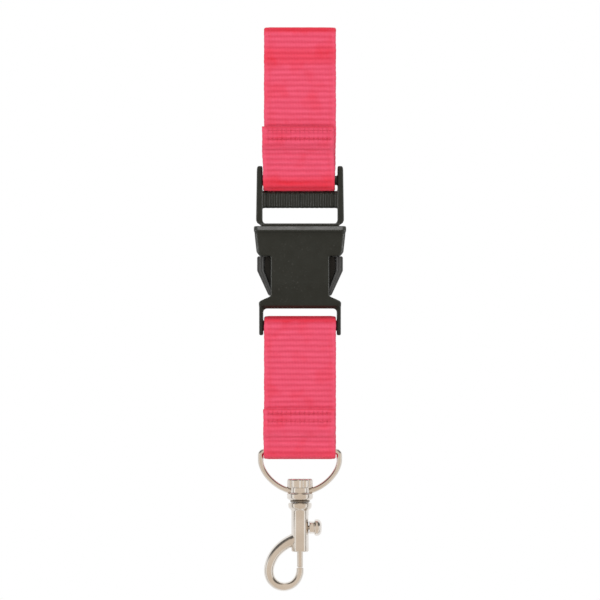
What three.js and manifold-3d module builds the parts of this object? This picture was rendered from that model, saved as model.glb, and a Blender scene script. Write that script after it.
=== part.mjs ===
// A short key lanyard, hanging from the top of its upper webbing loop.
// Millimetres, +Z up, the front faces -Y, the origin is the inside top of the upper loop.
// From the top down: webbing loop, male buckle half with two latches, female buckle half,
// webbing band, wire D-ring, swivel eye and a snap hook with a sprung bolt.
import * as THREE from "three";
import { mergeVertices } from "three/addons/utils/BufferGeometryUtils.js";
import Module from "manifold-3d";

const wasm = await Module();
wasm.setup();

// ---- Webbing ----------------------------------------------------------------------------
const WEB_WIDTH = 20;
const WEB_THICK = 1.3;
const FOLD_CLEAR = 0.1; // between a fold and the bar inside it
const WEB_SIDE_CLEAR = 0.2; // between a webbing edge and a buckle rail
const LOOP_LENGTH = 41.3; // inside top of the upper loop to the middle of the male bar
const LOOP_TOP_RADIUS = 0.85; // inside the top fold
const LOOP_BULGE = 2.2; // how far each layer bows out halfway down
const BAND_LENGTH = 35.0; // middle of the female bar to the middle of the ring's straight side
const BAND_WAIST = 0.9; // how far each layer of the lower band draws in

// ---- Seams ------------------------------------------------------------------------------
const LOOP_SEAM_DROP = 26.5; // inside top of the loop down to the cut end
const LOOP_LAP = 4.5;
const BAND_SEAM_DROP = 23.2; // female bar down to the cut end
const BAND_LAP = 6.0;
const THREAD = 0.35;
const THREAD_CLEAR = 0.12;
const STITCH_COUNT = 15;
const SEAM_MARGIN = 1.2; // outermost stitch to the webbing edge
const SEAM_FIRST_ROW = 1.1; // cut end to the first row
const SEAM_ROW_STEP = 2.3;

// ---- Male buckle half -------------------------------------------------------------------
const BAR_RADIUS = 1.3; // both webbing bars
const RAIL_THICK = 1.6;
const RAIL_FLARE = 0.2; // the rails stand this much wider at the bottom
const RAIL_ABOVE_BAR = 4.0;
const RAIL_DEPTH = 3.6;
const RIBBED_BAR_DROP = 3.2; // bar centre to the top of the ribbed bar
const RIBBED_BAR_HEIGHT = 4.5;
const RIBBED_BAR_DEPTH = 2.2;
const RIB_COUNT = 16;
const RIB_HEIGHT = 0.4;
const WINDOW_HEIGHT = 4.3;
const WINDOW_CORNER = 1.0;
const BASE_ABOVE_RIM = 0.7;
const BASE_SEAT = 2.5; // how deep the base sits in the mouth
const BASE_DEPTH = 6.0;
const MOUTH_CLEAR = 0.2;
const TONGUE_WIDTH = 5.0;
const TONGUE_DEPTH = 2.6;
const TONGUE_LENGTH = 13.8;

// ---- Latches ----------------------------------------------------------------------------
const LATCH_GAP = 0.3; // base to the root of a latch
const LATCH_THICK = 1.5;
const LATCH_DEPTH = 5.0;
const LATCH_PLAY = 0.4; // beam to the side wall inside the band
const HEAD_STRAIGHT = 4.0;
const HEAD_LENGTH = 10.9;
const HEAD_DRAW_IN = 3.0; // how much nearer the middle a head's tip is
const HEAD_WALL = 1.9;
const LATCH_WEB_DEPTH = 2.4; // the thin web that stiffens a head
const LATCH_WEB_REACH = 2.6; // head's inner face to the web's inner edge
const LEDGE_CLEAR = 0.2; // head to the edge it catches on

// ---- Female buckle half -----------------------------------------------------------------
const RIM_WIDTH = 25.6;
const RIM_BULGE = 0.2; // the rim stands this far proud of the band
const MOUTH_WALL = 1.7; // side wall round the base
const RIM_DEPTH = 9.6;
const RIM_HEIGHT = 1.7;
const BAND_HEIGHT = 8.3; // rim and band together
const BAND_TAPER = 0.7; // narrowing of each side down the band
const SIDE_WALL = 1.2;
const PANEL_DEPTH = 8.4; // between the flat front and back faces
const PANEL_FLAT = 16.0; // rim to where the faces start to draw in
const FACE_WALL = 1.35;
const PANEL_WIDTH = 16.3;
const PANEL_HEIGHT = 11.1;
const FLARE_HEIGHT = 1.3;
const BODY_HEIGHT = 22.9;
const FLOOR_THICK = 3.0;
const ARM_THICK = 1.15;
const ARM_DEPTH = 3.8;
const FEMALE_BAR_DROP = 27.6; // rim to the middle of the bar
const ARM_BELOW_BAR = 2.7;
const BODY_FOOT_DEPTH = 6.6;
const FOOT_CHAMFER = 0.9;

// ---- D-ring -----------------------------------------------------------------------------
const RING_WIRE = 1.45;
const RING_SIDE_CLEAR = 0.2;
const RING_CORNER = 1.0;
const RING_DROP = 11.3; // straight side to the lowest point, wire middles
const RING_SHOULDER = 1.3; // straight run down each side before the bow
const RING_BOW = 0.41; // how full the bow is near its shoulders
const RING_BUTT = 0.08; // the cut between the wire's ends, inside the fold

// ---- Swivel eye (measured from the ring wire inside it) ---------------------------------
const EYE_HOLE_CLEAR = 0.2;
const EYE_SWING = 60; // degrees each way on the ring
const EYE_RADIUS = 3.6;
const EYE_TOP = 3.8;
const EYE_NECK_TOP = 1.4;
const EYE_NECK_RADIUS = 2.8;
const EYE_NECK_BOTTOM = -0.2;
const EYE_BOTTOM = -2.2;
const STUD_RADIUS = 1.0;
const STUD_HEAD = 0.7;
const SWIVEL_GAP = 0.7; // between the eye and the hook's collar

// ---- Hook -------------------------------------------------------------------------------
const BARREL_RADIUS = 2.42;
const BARREL_LENGTH = 13.6; // collar top to the barrel's foot
const COLLAR_RADIUS = 3.25;
const COLLAR_HEIGHT = 1.5;
const COLLAR_FLARE = 0.9;
const COLLAR_WALL = 1.1; // metal over the bore
const BORE_RADIUS = 1.45;
const RUN_CLEAR = 0.1;
const STUD_HOLE_CLEAR = 0.15;
const HOOK_MOUTH = 4.4; // barrel foot to the hook's tip
const HOOK_ROOT_RADIUS = 1.55;
const HOOK_MID_RADIUS = 1.15;
const HOOK_TIP_RADIUS = 1.05;

// ---- Bolt, spring and knob --------------------------------------------------------------
const BOLT_TRAVEL = 3.0;
const BOLT_HEAD_DROP = 5.9; // collar top to the bolt's upper end
const BOLT_ROD_RADIUS = 0.85;
const BOLT_STEP_UP = 0.3; // the step sits this far inside the barrel's foot
const BOLT_TIP_GAP = 0.2;
const SPRING_WIRE = 0.24;
const SPRING_TURNS = 3.5;
const SPRING_END_CLEAR = 0.12;
const PIN_RADIUS = 0.55;
const PIN_BELOW_HEAD = 1.0;
const PIN_FIT = 0.05;
const SLOT_CLEAR = 0.12;
const KNOB_GAP = 0.15;
const KNOB_NECK_RADIUS = 1.7;
const KNOB_NECK_LENGTH = 1.5;
const KNOB_RADIUS = 2.3;
const KNOB_LENGTH = 2.0;

// ---- Derived places ---------------------------------------------------------------------
const FOLD_RADIUS = BAR_RADIUS + FOLD_CLEAR + WEB_THICK / 2;
const RING_FOLD_RADIUS = RING_WIRE / 2 + FOLD_CLEAR + WEB_THICK / 2;
const RAIL_INNER_X = WEB_WIDTH / 2 + 2 * WEB_SIDE_CLEAR;
const WINDOW_BOTTOM = -(RIBBED_BAR_DROP + RIBBED_BAR_HEIGHT + WINDOW_HEIGHT);
const RIM_Z = WINDOW_BOTTOM - BASE_ABOVE_RIM;
const BASE_BOTTOM = RIM_Z - BASE_SEAT;
const BAND_FOOT_X = RIM_WIDTH / 2 - RIM_BULGE - BAND_TAPER;
const BASE_WIDTH = RIM_WIDTH - 2 * (MOUTH_WALL + MOUTH_CLEAR);
const LATCH_ROOT_X = BAND_FOOT_X - SIDE_WALL - LATCH_PLAY - LATCH_THICK;
const HEAD_REACH = BAND_FOOT_X;
const HEAD_TIP_X = HEAD_REACH - HEAD_DRAW_IN;
const MALE_Z = -LOOP_LENGTH;
const FEMALE_Z = MALE_Z + RIM_Z;
const BAND_TOP_Z = FEMALE_Z - FEMALE_BAR_DROP;
const RING_Z = BAND_TOP_Z - BAND_LENGTH;
const EYE_Z = RING_Z - RING_DROP;
const HOOK_Z = EYE_Z + EYE_BOTTOM - SWIVEL_GAP;
const BORE_TOP = -COLLAR_WALL;
const STUD_HEAD_BOTTOM = BORE_TOP - RUN_CLEAR - STUD_HEAD;
const BOLT_TIP = -(BARREL_LENGTH + HOOK_MOUTH - BOLT_TIP_GAP);
const PIN_Z = -(BOLT_HEAD_DROP + PIN_BELOW_HEAD);

// ---- Helpers ----------------------------------------------------------------------------

// Makes a closed manifold solid from a three.js geometry.
function solid(geometry) {
  const bare = geometry.clone();
  bare.deleteAttribute("normal");
  bare.deleteAttribute("uv");
  const merged = mergeVertices(bare, 1e-4);
  return new wasm.Manifold(
    new wasm.Mesh({
      numProp: 3,
      vertProperties: new Float32Array(merged.attributes.position.array),
      triVerts: new Uint32Array(merged.index.array),
    }),
  );
}

// Turns a manifold solid back into a named mesh.
function part(name, made, material) {
  const mesh = made.getMesh();
  const points = new Float32Array(mesh.numVert * 3);
  for (let i = 0; i < mesh.numVert; i++) {
    const from = i * mesh.numProp;
    points.set(mesh.vertProperties.subarray(from, from + 3), i * 3);
  }
  const geometry = new THREE.BufferGeometry();
  geometry.setAttribute("position", new THREE.BufferAttribute(points, 3));
  geometry.setIndex(new THREE.BufferAttribute(mesh.triVerts, 1));
  geometry.computeVertexNormals();
  const out = new THREE.Mesh(geometry, material);
  out.name = name;
  return out;
}

function polygon(points) {
  return new THREE.Shape(points.map(([a, b]) => new THREE.Vector2(a, b)));
}

// Adds the mirror image of a right-hand outline, so the whole outline is closed.
function mirrored(points) {
  const left = points.map(([x, z]) => [-x, z]).reverse();
  return [...points, ...left];
}

// An outline in x and z, given depth along y, centred on y = 0.
function fromFront(shape, depth) {
  const geometry = new THREE.ExtrudeGeometry(shape, {
    depth,
    bevelEnabled: false,
    curveSegments: 8,
  });
  const basis = new THREE.Matrix4().makeBasis(
    new THREE.Vector3(1, 0, 0),
    new THREE.Vector3(0, 0, 1),
    new THREE.Vector3(0, -1, 0),
  );
  geometry.applyMatrix4(basis);
  geometry.translate(0, depth / 2, 0);
  return solid(geometry);
}

// An outline in y and z, given width along x, centred on x = 0.
function fromSide(shape, width) {
  const geometry = new THREE.ExtrudeGeometry(shape, {
    depth: width,
    bevelEnabled: false,
    curveSegments: 8,
  });
  const basis = new THREE.Matrix4().makeBasis(
    new THREE.Vector3(0, 1, 0),
    new THREE.Vector3(0, 0, 1),
    new THREE.Vector3(1, 0, 0),
  );
  geometry.applyMatrix4(basis);
  geometry.translate(-width / 2, 0, 0);
  return solid(geometry);
}

function box(width, depth, low, high) {
  const geometry = new THREE.BoxGeometry(width, depth, high - low);
  geometry.translate(0, 0, (low + high) / 2);
  return solid(geometry);
}

// A round rod along x between two stations.
function rodX(radius, from, to, z, segments = 24) {
  const geometry = new THREE.CylinderGeometry(radius, radius, to - from, segments);
  geometry.rotateZ(-Math.PI / 2);
  geometry.translate((from + to) / 2, 0, z);
  return solid(geometry);
}

// A round rod along y between two stations.
function rodY(radius, x, from, to, z, segments = 8) {
  const geometry = new THREE.CylinderGeometry(radius, radius, to - from, segments);
  geometry.translate(x, (from + to) / 2, z);
  return solid(geometry);
}

// A turned solid about z from a profile of radius and height, listed from the bottom up.
function turned(profile, segments = 32) {
  const points = profile.map(([r, z]) => new THREE.Vector2(r, z));
  const geometry = new THREE.LatheGeometry(points, segments);
  geometry.rotateX(Math.PI / 2);
  return solid(geometry);
}

// Wire of round section along a path.
function wire(path, radius, steps, segments) {
  const section = new THREE.Shape();
  section.absarc(0, 0, radius, 0, Math.PI * 2, false);
  const geometry = new THREE.ExtrudeGeometry(section, {
    steps,
    curveSegments: segments,
    bevelEnabled: false,
    extrudePath: path,
  });
  return solid(geometry);
}

// ---- Webbing loops ----------------------------------------------------------------------

// Half the distance between the two layers' middles, at a share of the way down.
function halfSpread(share, top, bottom, bow) {
  const eased = share * share * (3 - 2 * share);
  return top + (bottom - top) * eased + bow * Math.sin(Math.PI * share) ** 2;
}

// The middle line of a closed webbing loop, in y and z, with its outward normals.
function loopLine(topZ, topRadius, bottomZ, bottomRadius, bow) {
  const line = [];
  const arcSteps = 12;
  const sideSteps = 20;
  for (let i = 0; i < arcSteps; i++) {
    const angle = (Math.PI * i) / arcSteps;
    line.push([topRadius * Math.cos(angle), topZ + topRadius * Math.sin(angle)]);
  }
  for (let i = 0; i < sideSteps; i++) {
    const share = i / sideSteps;
    line.push([
      -halfSpread(share, topRadius, bottomRadius, bow),
      topZ + (bottomZ - topZ) * share,
    ]);
  }
  for (let i = 0; i < arcSteps; i++) {
    const angle = Math.PI + (Math.PI * i) / arcSteps;
    line.push([bottomRadius * Math.cos(angle), bottomZ + bottomRadius * Math.sin(angle)]);
  }
  for (let i = 0; i < sideSteps; i++) {
    const share = 1 - i / sideSteps;
    line.push([
      halfSpread(share, topRadius, bottomRadius, bow),
      topZ + (bottomZ - topZ) * share,
    ]);
  }
  return line;
}

// The same line moved outwards by a distance.
function offsetLine(line, distance) {
  const count = line.length;
  return line.map(([y, z], i) => {
    const before = line[(i + count - 1) % count];
    const after = line[(i + 1) % count];
    const run = [after[0] - before[0], after[1] - before[1]];
    const length = Math.hypot(run[0], run[1]);
    return [y + (distance * run[1]) / length, z - (distance * run[0]) / length];
  });
}

// A webbing band folded round a top and a bottom, with its ends lapped at the front.
function webbing(spec) {
  const { topZ, topRadius, bottomZ, bottomRadius, bow } = spec;
  const line = loopLine(topZ, topRadius, bottomZ, bottomRadius, bow);
  const shape = polygon(offsetLine(line, WEB_THICK / 2));
  shape.holes.push(polygon(offsetLine(line, -WEB_THICK / 2).reverse()));
  const band = fromSide(shape, WEB_WIDTH);
  const lap = [];
  const steps = 5;
  for (let i = 0; i <= steps; i++) {
    const z = spec.seamZ - (spec.lap * i) / steps;
    lap.push([frontAt(spec, z) + 0.2, z]);
  }
  for (let i = steps; i >= 0; i--) {
    const z = spec.seamZ - (spec.lap * i) / steps;
    lap.push([frontAt(spec, z) - WEB_THICK, z]);
  }
  let made = band.add(fromSide(polygon(lap.reverse()), WEB_WIDTH));
  for (const z of seamRows(spec)) {
    for (const x of stitchPlaces()) {
      const hole = rodY(
        THREAD / 2 + THREAD_CLEAR,
        x,
        frontAt(spec, z) - WEB_THICK - 1,
        frontAt(spec, z) + WEB_THICK + 0.4,
        z,
      );
      made = made.subtract(hole);
    }
  }
  return made;
}

// Where the outer face of the front layer is, at a height.
function frontAt(spec, z) {
  const share = (spec.topZ - z) / (spec.topZ - spec.bottomZ);
  const spread = halfSpread(share, spec.topRadius, spec.bottomRadius, spec.bow);
  return -(spread + WEB_THICK / 2);
}

function seamRows(spec) {
  const first = spec.seamZ - SEAM_FIRST_ROW;
  return [first, first - SEAM_ROW_STEP];
}

function stitchPlaces() {
  const reach = WEB_WIDTH / 2 - SEAM_MARGIN;
  return Array.from({ length: STITCH_COUNT }, (_, i) => {
    return -reach + (2 * reach * i) / (STITCH_COUNT - 1);
  });
}

// One row of lockstitch: a thread along the front, one along the back, knotted in the holes.
function stitchRow(spec, z) {
  const front = frontAt(spec, z) - WEB_THICK - THREAD_CLEAR - THREAD / 2;
  const back = frontAt(spec, z) + WEB_THICK + THREAD_CLEAR + THREAD / 2;
  const places = stitchPlaces();
  const reach = places[places.length - 1] + THREAD;
  let made = box(2 * reach, THREAD, -THREAD / 2, THREAD / 2).translate([0, front, z]);
  made = made.add(box(2 * reach, THREAD, -THREAD / 2, THREAD / 2).translate([0, back, z]));
  for (const x of places) {
    made = made.add(rodY(0.4 * THREAD, x, front, back, z));
  }
  return made;
}

const LOOP = {
  topZ: -LOOP_TOP_RADIUS,
  topRadius: LOOP_TOP_RADIUS + WEB_THICK / 2,
  bottomZ: -LOOP_LENGTH,
  bottomRadius: FOLD_RADIUS,
  bow: LOOP_BULGE,
  seamZ: -LOOP_SEAM_DROP,
  lap: LOOP_LAP,
};

const BAND = {
  topZ: BAND_TOP_Z,
  topRadius: FOLD_RADIUS,
  bottomZ: RING_Z,
  bottomRadius: RING_FOLD_RADIUS,
  bow: -BAND_WAIST,
  seamZ: BAND_TOP_Z - BAND_SEAM_DROP,
  lap: BAND_LAP,
};

// ---- Male buckle half -------------------------------------------------------------------

// Rails and base as one outline seen from the front, open at the top between the rails.
function maleFrame() {
  const railTop = RAIL_INNER_X + RAIL_THICK;
  const railFoot = railTop + RAIL_FLARE;
  const baseHalf = BASE_WIDTH / 2;
  const floor = WINDOW_BOTTOM;
  const corner = WINDOW_CORNER;
  const right = [
    [RAIL_INNER_X - corner, floor],
    [RAIL_INNER_X - 0.3 * corner, floor + 0.3 * corner],
    [RAIL_INNER_X, floor + corner],
    [RAIL_INNER_X, RAIL_ABOVE_BAR],
    [railTop - 0.7, RAIL_ABOVE_BAR],
    [railTop - 0.15, RAIL_ABOVE_BAR - 0.3],
    [railTop, RAIL_ABOVE_BAR - 0.9],
    [railFoot, floor + 0.8],
    [railFoot - 0.3, floor + 0.1],
    [baseHalf, floor - 0.3],
    [baseHalf, BASE_BOTTOM],
  ];
  const outline = polygon(mirrored(right).reverse());
  const front = fromFront(outline, BASE_DEPTH + 2);
  const rail = RAIL_DEPTH / 2;
  const base = BASE_DEPTH / 2;
  const sideOutline = polygon([
    [-rail, RAIL_ABOVE_BAR - 0.5],
    [-rail, floor + 0.2],
    [-base + 0.3, floor - 0.2],
    [-base, floor - 0.5],
    [-base, BASE_BOTTOM],
    [base, BASE_BOTTOM],
    [base, floor - 0.5],
    [base - 0.3, floor - 0.2],
    [rail, floor + 0.2],
    [rail, RAIL_ABOVE_BAR - 0.5],
    [rail - 0.5, RAIL_ABOVE_BAR],
    [-rail + 0.5, RAIL_ABOVE_BAR],
  ]);
  const side = fromSide(sideOutline, 2 * railFoot + 2);
  const overlap = 0.4;
  const bar = rodX(BAR_RADIUS, -RAIL_INNER_X - overlap, RAIL_INNER_X + overlap, 0);
  const tongueHalf = TONGUE_WIDTH / 2;
  const tongueEnd = BASE_BOTTOM - TONGUE_LENGTH;
  const tongue = fromFront(
    polygon([
      [-tongueHalf, BASE_BOTTOM + overlap],
      [-tongueHalf, tongueEnd + 1.5],
      [-tongueHalf + 1, tongueEnd],
      [tongueHalf - 1, tongueEnd],
      [tongueHalf, tongueEnd + 1.5],
      [tongueHalf, BASE_BOTTOM + overlap],
    ]),
    TONGUE_DEPTH,
  );
  return front.intersect(side).add(bar).add(ribbedBar()).add(tongue);
}

// The gripping bar: upright ribs in a wave along its front and back.
function ribbedBar() {
  const low = -(RIBBED_BAR_DROP + RIBBED_BAR_HEIGHT);
  const reach = RAIL_INNER_X + 0.4;
  const perRib = 6;
  const count = RIB_COUNT * perRib;
  const outline = [];
  for (let i = 0; i <= count; i++) {
    const x = -reach + (2 * reach * i) / count;
    const wave = Math.abs(Math.sin((Math.PI * i) / perRib));
    outline.push([x, -(RIBBED_BAR_DEPTH / 2 + RIB_HEIGHT * wave)]);
  }
  const back = outline.map(([x, y]) => [x, -y]).reverse();
  const geometry = new THREE.ExtrudeGeometry(polygon([...outline, ...back]), {
    depth: RIBBED_BAR_HEIGHT,
    bevelEnabled: false,
  });
  geometry.translate(0, 0, low);
  return solid(geometry);
}

// A latch: a thin root beam, then a head whose ledge catches under the band, and a thin web
// beside it that closes the gap to the housing's panel. side is 1 or -1.
function latch(side) {
  const top = BASE_BOTTOM - LATCH_GAP;
  const ledge = RIM_Z - BAND_HEIGHT - LEDGE_CLEAR;
  const tip = ledge - HEAD_LENGTH;
  const beamOut = LATCH_ROOT_X + LATCH_THICK;
  const inner = HEAD_REACH - HEAD_WALL;
  const outline = [
    [LATCH_ROOT_X, top],
    [LATCH_ROOT_X, ledge + 0.6],
    [inner, ledge - 1.2],
    [inner, ledge - HEAD_STRAIGHT + 0.4],
    [HEAD_TIP_X - 1.4, tip + 0.8],
    [HEAD_TIP_X - 1.2, tip],
    [HEAD_TIP_X - 0.3, tip],
    [HEAD_TIP_X, tip + 0.4],
    [HEAD_REACH, ledge - HEAD_STRAIGHT],
    [HEAD_REACH, ledge - 0.3],
    [HEAD_REACH - 0.3, ledge],
    [beamOut, ledge],
    [beamOut, top],
  ];
  const webInner = inner - LATCH_WEB_REACH;
  const web = polygon([
    [webInner + 0.3, ledge - 1.0],
    [webInner, ledge - 1.3],
    [webInner, tip + 1.4],
    [HEAD_TIP_X - 1.2, tip + 0.4],
    [HEAD_TIP_X - 0.6, tip + 0.4],
    [inner + 0.4, ledge - HEAD_STRAIGHT],
    [inner + 0.4, ledge - 1.0],
  ]);
  const head = fromFront(polygon(outline), LATCH_DEPTH);
  const made = head.add(fromFront(web, LATCH_WEB_DEPTH));
  return side > 0 ? made : made.mirror([1, 0, 0]);
}

// ---- Female buckle half -----------------------------------------------------------------

function femaleHousing() {
  const rim = RIM_WIDTH / 2;
  const bandFoot = BAND_FOOT_X;
  const panel = PANEL_WIDTH / 2;
  const armInner = WEB_WIDTH / 2 + WEB_SIDE_CLEAR;
  const armOuter = armInner + ARM_THICK;
  const panelEnd = -(BAND_HEIGHT + PANEL_HEIGHT);
  const armEnd = -(FEMALE_BAR_DROP + ARM_BELOW_BAR);
  const corner = WINDOW_CORNER;
  const right = [
    [rim - 0.2, 0],
    [rim, -0.3],
    [rim, -RIM_HEIGHT + 0.3],
    [rim - RIM_BULGE, -RIM_HEIGHT],
    [bandFoot + 0.4, -BAND_HEIGHT + 1.3],
    [bandFoot, -BAND_HEIGHT],
    [panel, -BAND_HEIGHT],
    [panel, panelEnd],
    [panel + 0.4, panelEnd - 0.2],
    [armOuter - 0.3, panelEnd - FLARE_HEIGHT],
    [armOuter + 0.1, panelEnd - FLARE_HEIGHT - 0.5],
    [armOuter, armEnd + 0.5],
    [armOuter - 0.4, armEnd],
    [armInner + 0.2, armEnd],
    [armInner, armEnd + 0.3],
    [armInner, -BODY_HEIGHT - corner],
    [armInner - 0.3 * corner, -BODY_HEIGHT - 0.3 * corner],
    [armInner - corner, -BODY_HEIGHT],
  ];
  const front = fromFront(polygon(mirrored(right).reverse()), RIM_DEPTH + 2);
  const half = RIM_DEPTH / 2;
  const arm = ARM_DEPTH / 2;
  const foot = BODY_FOOT_DEPTH / 2;
  const back = [
    [half - 0.4, 0],
    [half, -0.4],
    [half, -RIM_HEIGHT + 0.4],
    [half - 0.25, -RIM_HEIGHT],
    [PANEL_DEPTH / 2, -RIM_HEIGHT - 0.8],
    [PANEL_DEPTH / 2, -PANEL_FLAT],
    [foot, -BODY_HEIGHT + FOOT_CHAMFER],
    [arm, -BODY_HEIGHT],
    [arm, armEnd],
  ];
  const side = fromSide(polygon(mirrored(back).reverse()), RIM_WIDTH + 2);
  const seat = -(BASE_SEAT + MOUTH_CLEAR);
  const mouth = box(
    BASE_WIDTH + 2 * MOUTH_CLEAR,
    BASE_DEPTH + 2 * MOUTH_CLEAR,
    seat,
    1,
  );
  const cavityDepth = PANEL_DEPTH - 2 * FACE_WALL;
  const cavity = box(
    2 * (bandFoot - SIDE_WALL),
    cavityDepth,
    -BODY_HEIGHT + FLOOR_THICK,
    seat + 0.1,
  );
  const overlap = 0.4;
  const bar = rodX(BAR_RADIUS, -armInner - overlap, armInner + overlap, -FEMALE_BAR_DROP);
  return front.intersect(side).subtract(mouth).subtract(cavity).add(bar);
}

// ---- D-ring -----------------------------------------------------------------------------

// The ring's wire path in x and z, from its butt joint round the bow and back again.
function ringPath() {
  const half = WEB_WIDTH / 2 + RING_SIDE_CLEAR + RING_WIRE / 2;
  const flat = (x, z) => new THREE.Vector3(x, 0, z);
  const path = new THREE.CurvePath();
  const start = RING_BUTT / 2;
  const bend = 0.55 * RING_CORNER;
  path.add(new THREE.LineCurve3(flat(start, 0), flat(half - RING_CORNER, 0)));
  path.add(
    new THREE.CubicBezierCurve3(
      flat(half - RING_CORNER, 0),
      flat(half - RING_CORNER + bend, 0),
      flat(half, -RING_CORNER + bend),
      flat(half, -RING_CORNER),
    ),
  );
  const shoulder = -RING_CORNER - RING_SHOULDER;
  const fullness = shoulder - RING_BOW * (RING_DROP + shoulder);
  path.add(new THREE.LineCurve3(flat(half, -RING_CORNER), flat(half, shoulder)));
  path.add(
    new THREE.CubicBezierCurve3(
      flat(half, shoulder),
      flat(half, fullness),
      flat(0.55 * half, -RING_DROP),
      flat(0, -RING_DROP),
    ),
  );
  path.add(
    new THREE.CubicBezierCurve3(
      flat(0, -RING_DROP),
      flat(-0.55 * half, -RING_DROP),
      flat(-half, fullness),
      flat(-half, shoulder),
    ),
  );
  path.add(new THREE.LineCurve3(flat(-half, shoulder), flat(-half, -RING_CORNER)));
  path.add(
    new THREE.CubicBezierCurve3(
      flat(-half, -RING_CORNER),
      flat(-half, -RING_CORNER + bend),
      flat(-half + RING_CORNER, 0),
      flat(-half + RING_CORNER, 0),
    ),
  );
  path.add(new THREE.LineCurve3(flat(-half + RING_CORNER, 0), flat(-start, 0)));
  return path;
}

// ---- Swivel eye -------------------------------------------------------------------------

// A turned eye with a cross hole that follows the ring as it swings, and a headed stud below.
function swivelEye() {
  const studEnd = EYE_BOTTOM - SWIVEL_GAP + STUD_HEAD_BOTTOM;
  const headTop = studEnd + STUD_HEAD;
  const headRadius = BORE_RADIUS - RUN_CLEAR;
  let made = turned([
    [0, studEnd],
    [headRadius - 0.2, studEnd],
    [headRadius, studEnd + 0.2],
    [headRadius, headTop],
    [STUD_RADIUS, headTop],
    [STUD_RADIUS, EYE_BOTTOM],
    [EYE_RADIUS - 0.7, EYE_BOTTOM],
    [EYE_RADIUS - 0.1, EYE_BOTTOM + 0.6],
    [EYE_RADIUS, EYE_BOTTOM + 1.0],
    [EYE_RADIUS, EYE_NECK_BOTTOM - 0.2],
    [EYE_RADIUS - 0.2, EYE_NECK_BOTTOM],
    [EYE_NECK_RADIUS, EYE_NECK_BOTTOM],
    [EYE_NECK_RADIUS, EYE_NECK_TOP],
    [EYE_RADIUS - 0.2, EYE_NECK_TOP],
    [EYE_RADIUS, EYE_NECK_TOP + 0.2],
    [EYE_RADIUS, EYE_TOP - 0.4],
    [EYE_RADIUS - 0.15, EYE_TOP - 0.12],
    [EYE_RADIUS - 0.5, EYE_TOP],
    [0, EYE_TOP],
  ]);
  const fat = RING_WIRE / 2 + EYE_HOLE_CLEAR;
  const reach = 2 * EYE_RADIUS;
  const middle = new THREE.CatmullRomCurve3(
    ringBottomPoints(reach).map(([x, z]) => new THREE.Vector3(x, 0, z)),
  );
  for (let swing = -EYE_SWING - 3; swing <= EYE_SWING + 3.1; swing += (EYE_SWING + 3) / 4) {
    made = made.subtract(wire(middle, fat, 10, 5).rotate([swing, 0, 0]));
  }
  return made;
}

// The lowest stretch of the ring's middle line, measured from its lowest point.
function ringBottomPoints(reach) {
  const path = ringPath();
  return path
    .getSpacedPoints(160)
    .filter((p) => p.z < -RING_DROP / 2 && Math.abs(p.x) < reach)
    .filter((p, i) => i % 3 === 0)
    .map((p) => [p.x, p.z + RING_DROP]);
}

// ---- Hook -------------------------------------------------------------------------------

// The hook's middle line in x and z, from inside the barrel round to the tip under the bolt.
function hookLine() {
  const foot = -BARREL_LENGTH;
  const tipZ = foot - HOOK_MOUTH;
  const points = [
    [-0.9, foot + 3.7],
    [-2.9, foot + 2.9],
    [-5.0, foot + 1.6],
    [-7.0, foot - 0.4],
    [-8.45, foot - 2.9],
    [-8.95, foot - 5.5],
    [-8.3, foot - 7.8],
    [-6.7, foot - 9.35],
    [-4.6, foot - 9.9],
    [-2.4, foot - 9.35],
    [-0.75, foot - 7.9],
    [-0.05, tipZ - 1.7],
    [0, tipZ - 0.8],
    [0, tipZ],
  ];
  return points.map(([x, z]) => new THREE.Vector3(x, 0, z));
}

// A round bar of changing thickness along the hook's line, closed by flat ends.
function hookArm() {
  const curve = new THREE.CatmullRomCurve3(hookLine(), false, "centripetal");
  const steps = 44;
  const around = 14;
  const positions = [];
  const index = [];
  for (let i = 0; i <= steps; i++) {
    const share = i / steps;
    const at = curve.getPointAt(share);
    const along = curve.getTangentAt(share);
    if (i === steps) along.set(0, 0, 1);
    const across = new THREE.Vector3(-along.z, 0, along.x);
    const radius =
      share < 0.4
        ? THREE.MathUtils.lerp(HOOK_ROOT_RADIUS, HOOK_MID_RADIUS, share / 0.4)
        : THREE.MathUtils.lerp(HOOK_MID_RADIUS, HOOK_TIP_RADIUS, (share - 0.4) / 0.6);
    for (let j = 0; j < around; j++) {
      const angle = (2 * Math.PI * j) / around;
      positions.push(
        at.x + across.x * radius * Math.cos(angle),
        radius * Math.sin(angle),
        at.z + across.z * radius * Math.cos(angle),
      );
    }
  }
  const first = positions.length / 3;
  const start = curve.getPointAt(0);
  const end = curve.getPointAt(1);
  positions.push(start.x, start.y, start.z, end.x, end.y, end.z);
  for (let i = 0; i < steps; i++) {
    for (let j = 0; j < around; j++) {
      const a = i * around + j;
      const b = i * around + ((j + 1) % around);
      index.push(a, a + around, b, b, a + around, b + around);
    }
  }
  for (let j = 0; j < around; j++) {
    const next = (j + 1) % around;
    const last = steps * around;
    index.push(first, j, next);
    index.push(first + 1, last + next, last + j);
  }
  const geometry = new THREE.BufferGeometry();
  geometry.setAttribute("position", new THREE.Float32BufferAttribute(positions, 3));
  geometry.setIndex(index);
  const made = solid(geometry);
  if (made.volume() > 0) return made;
  geometry.setIndex(index.reverse());
  return solid(geometry);
}

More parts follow.
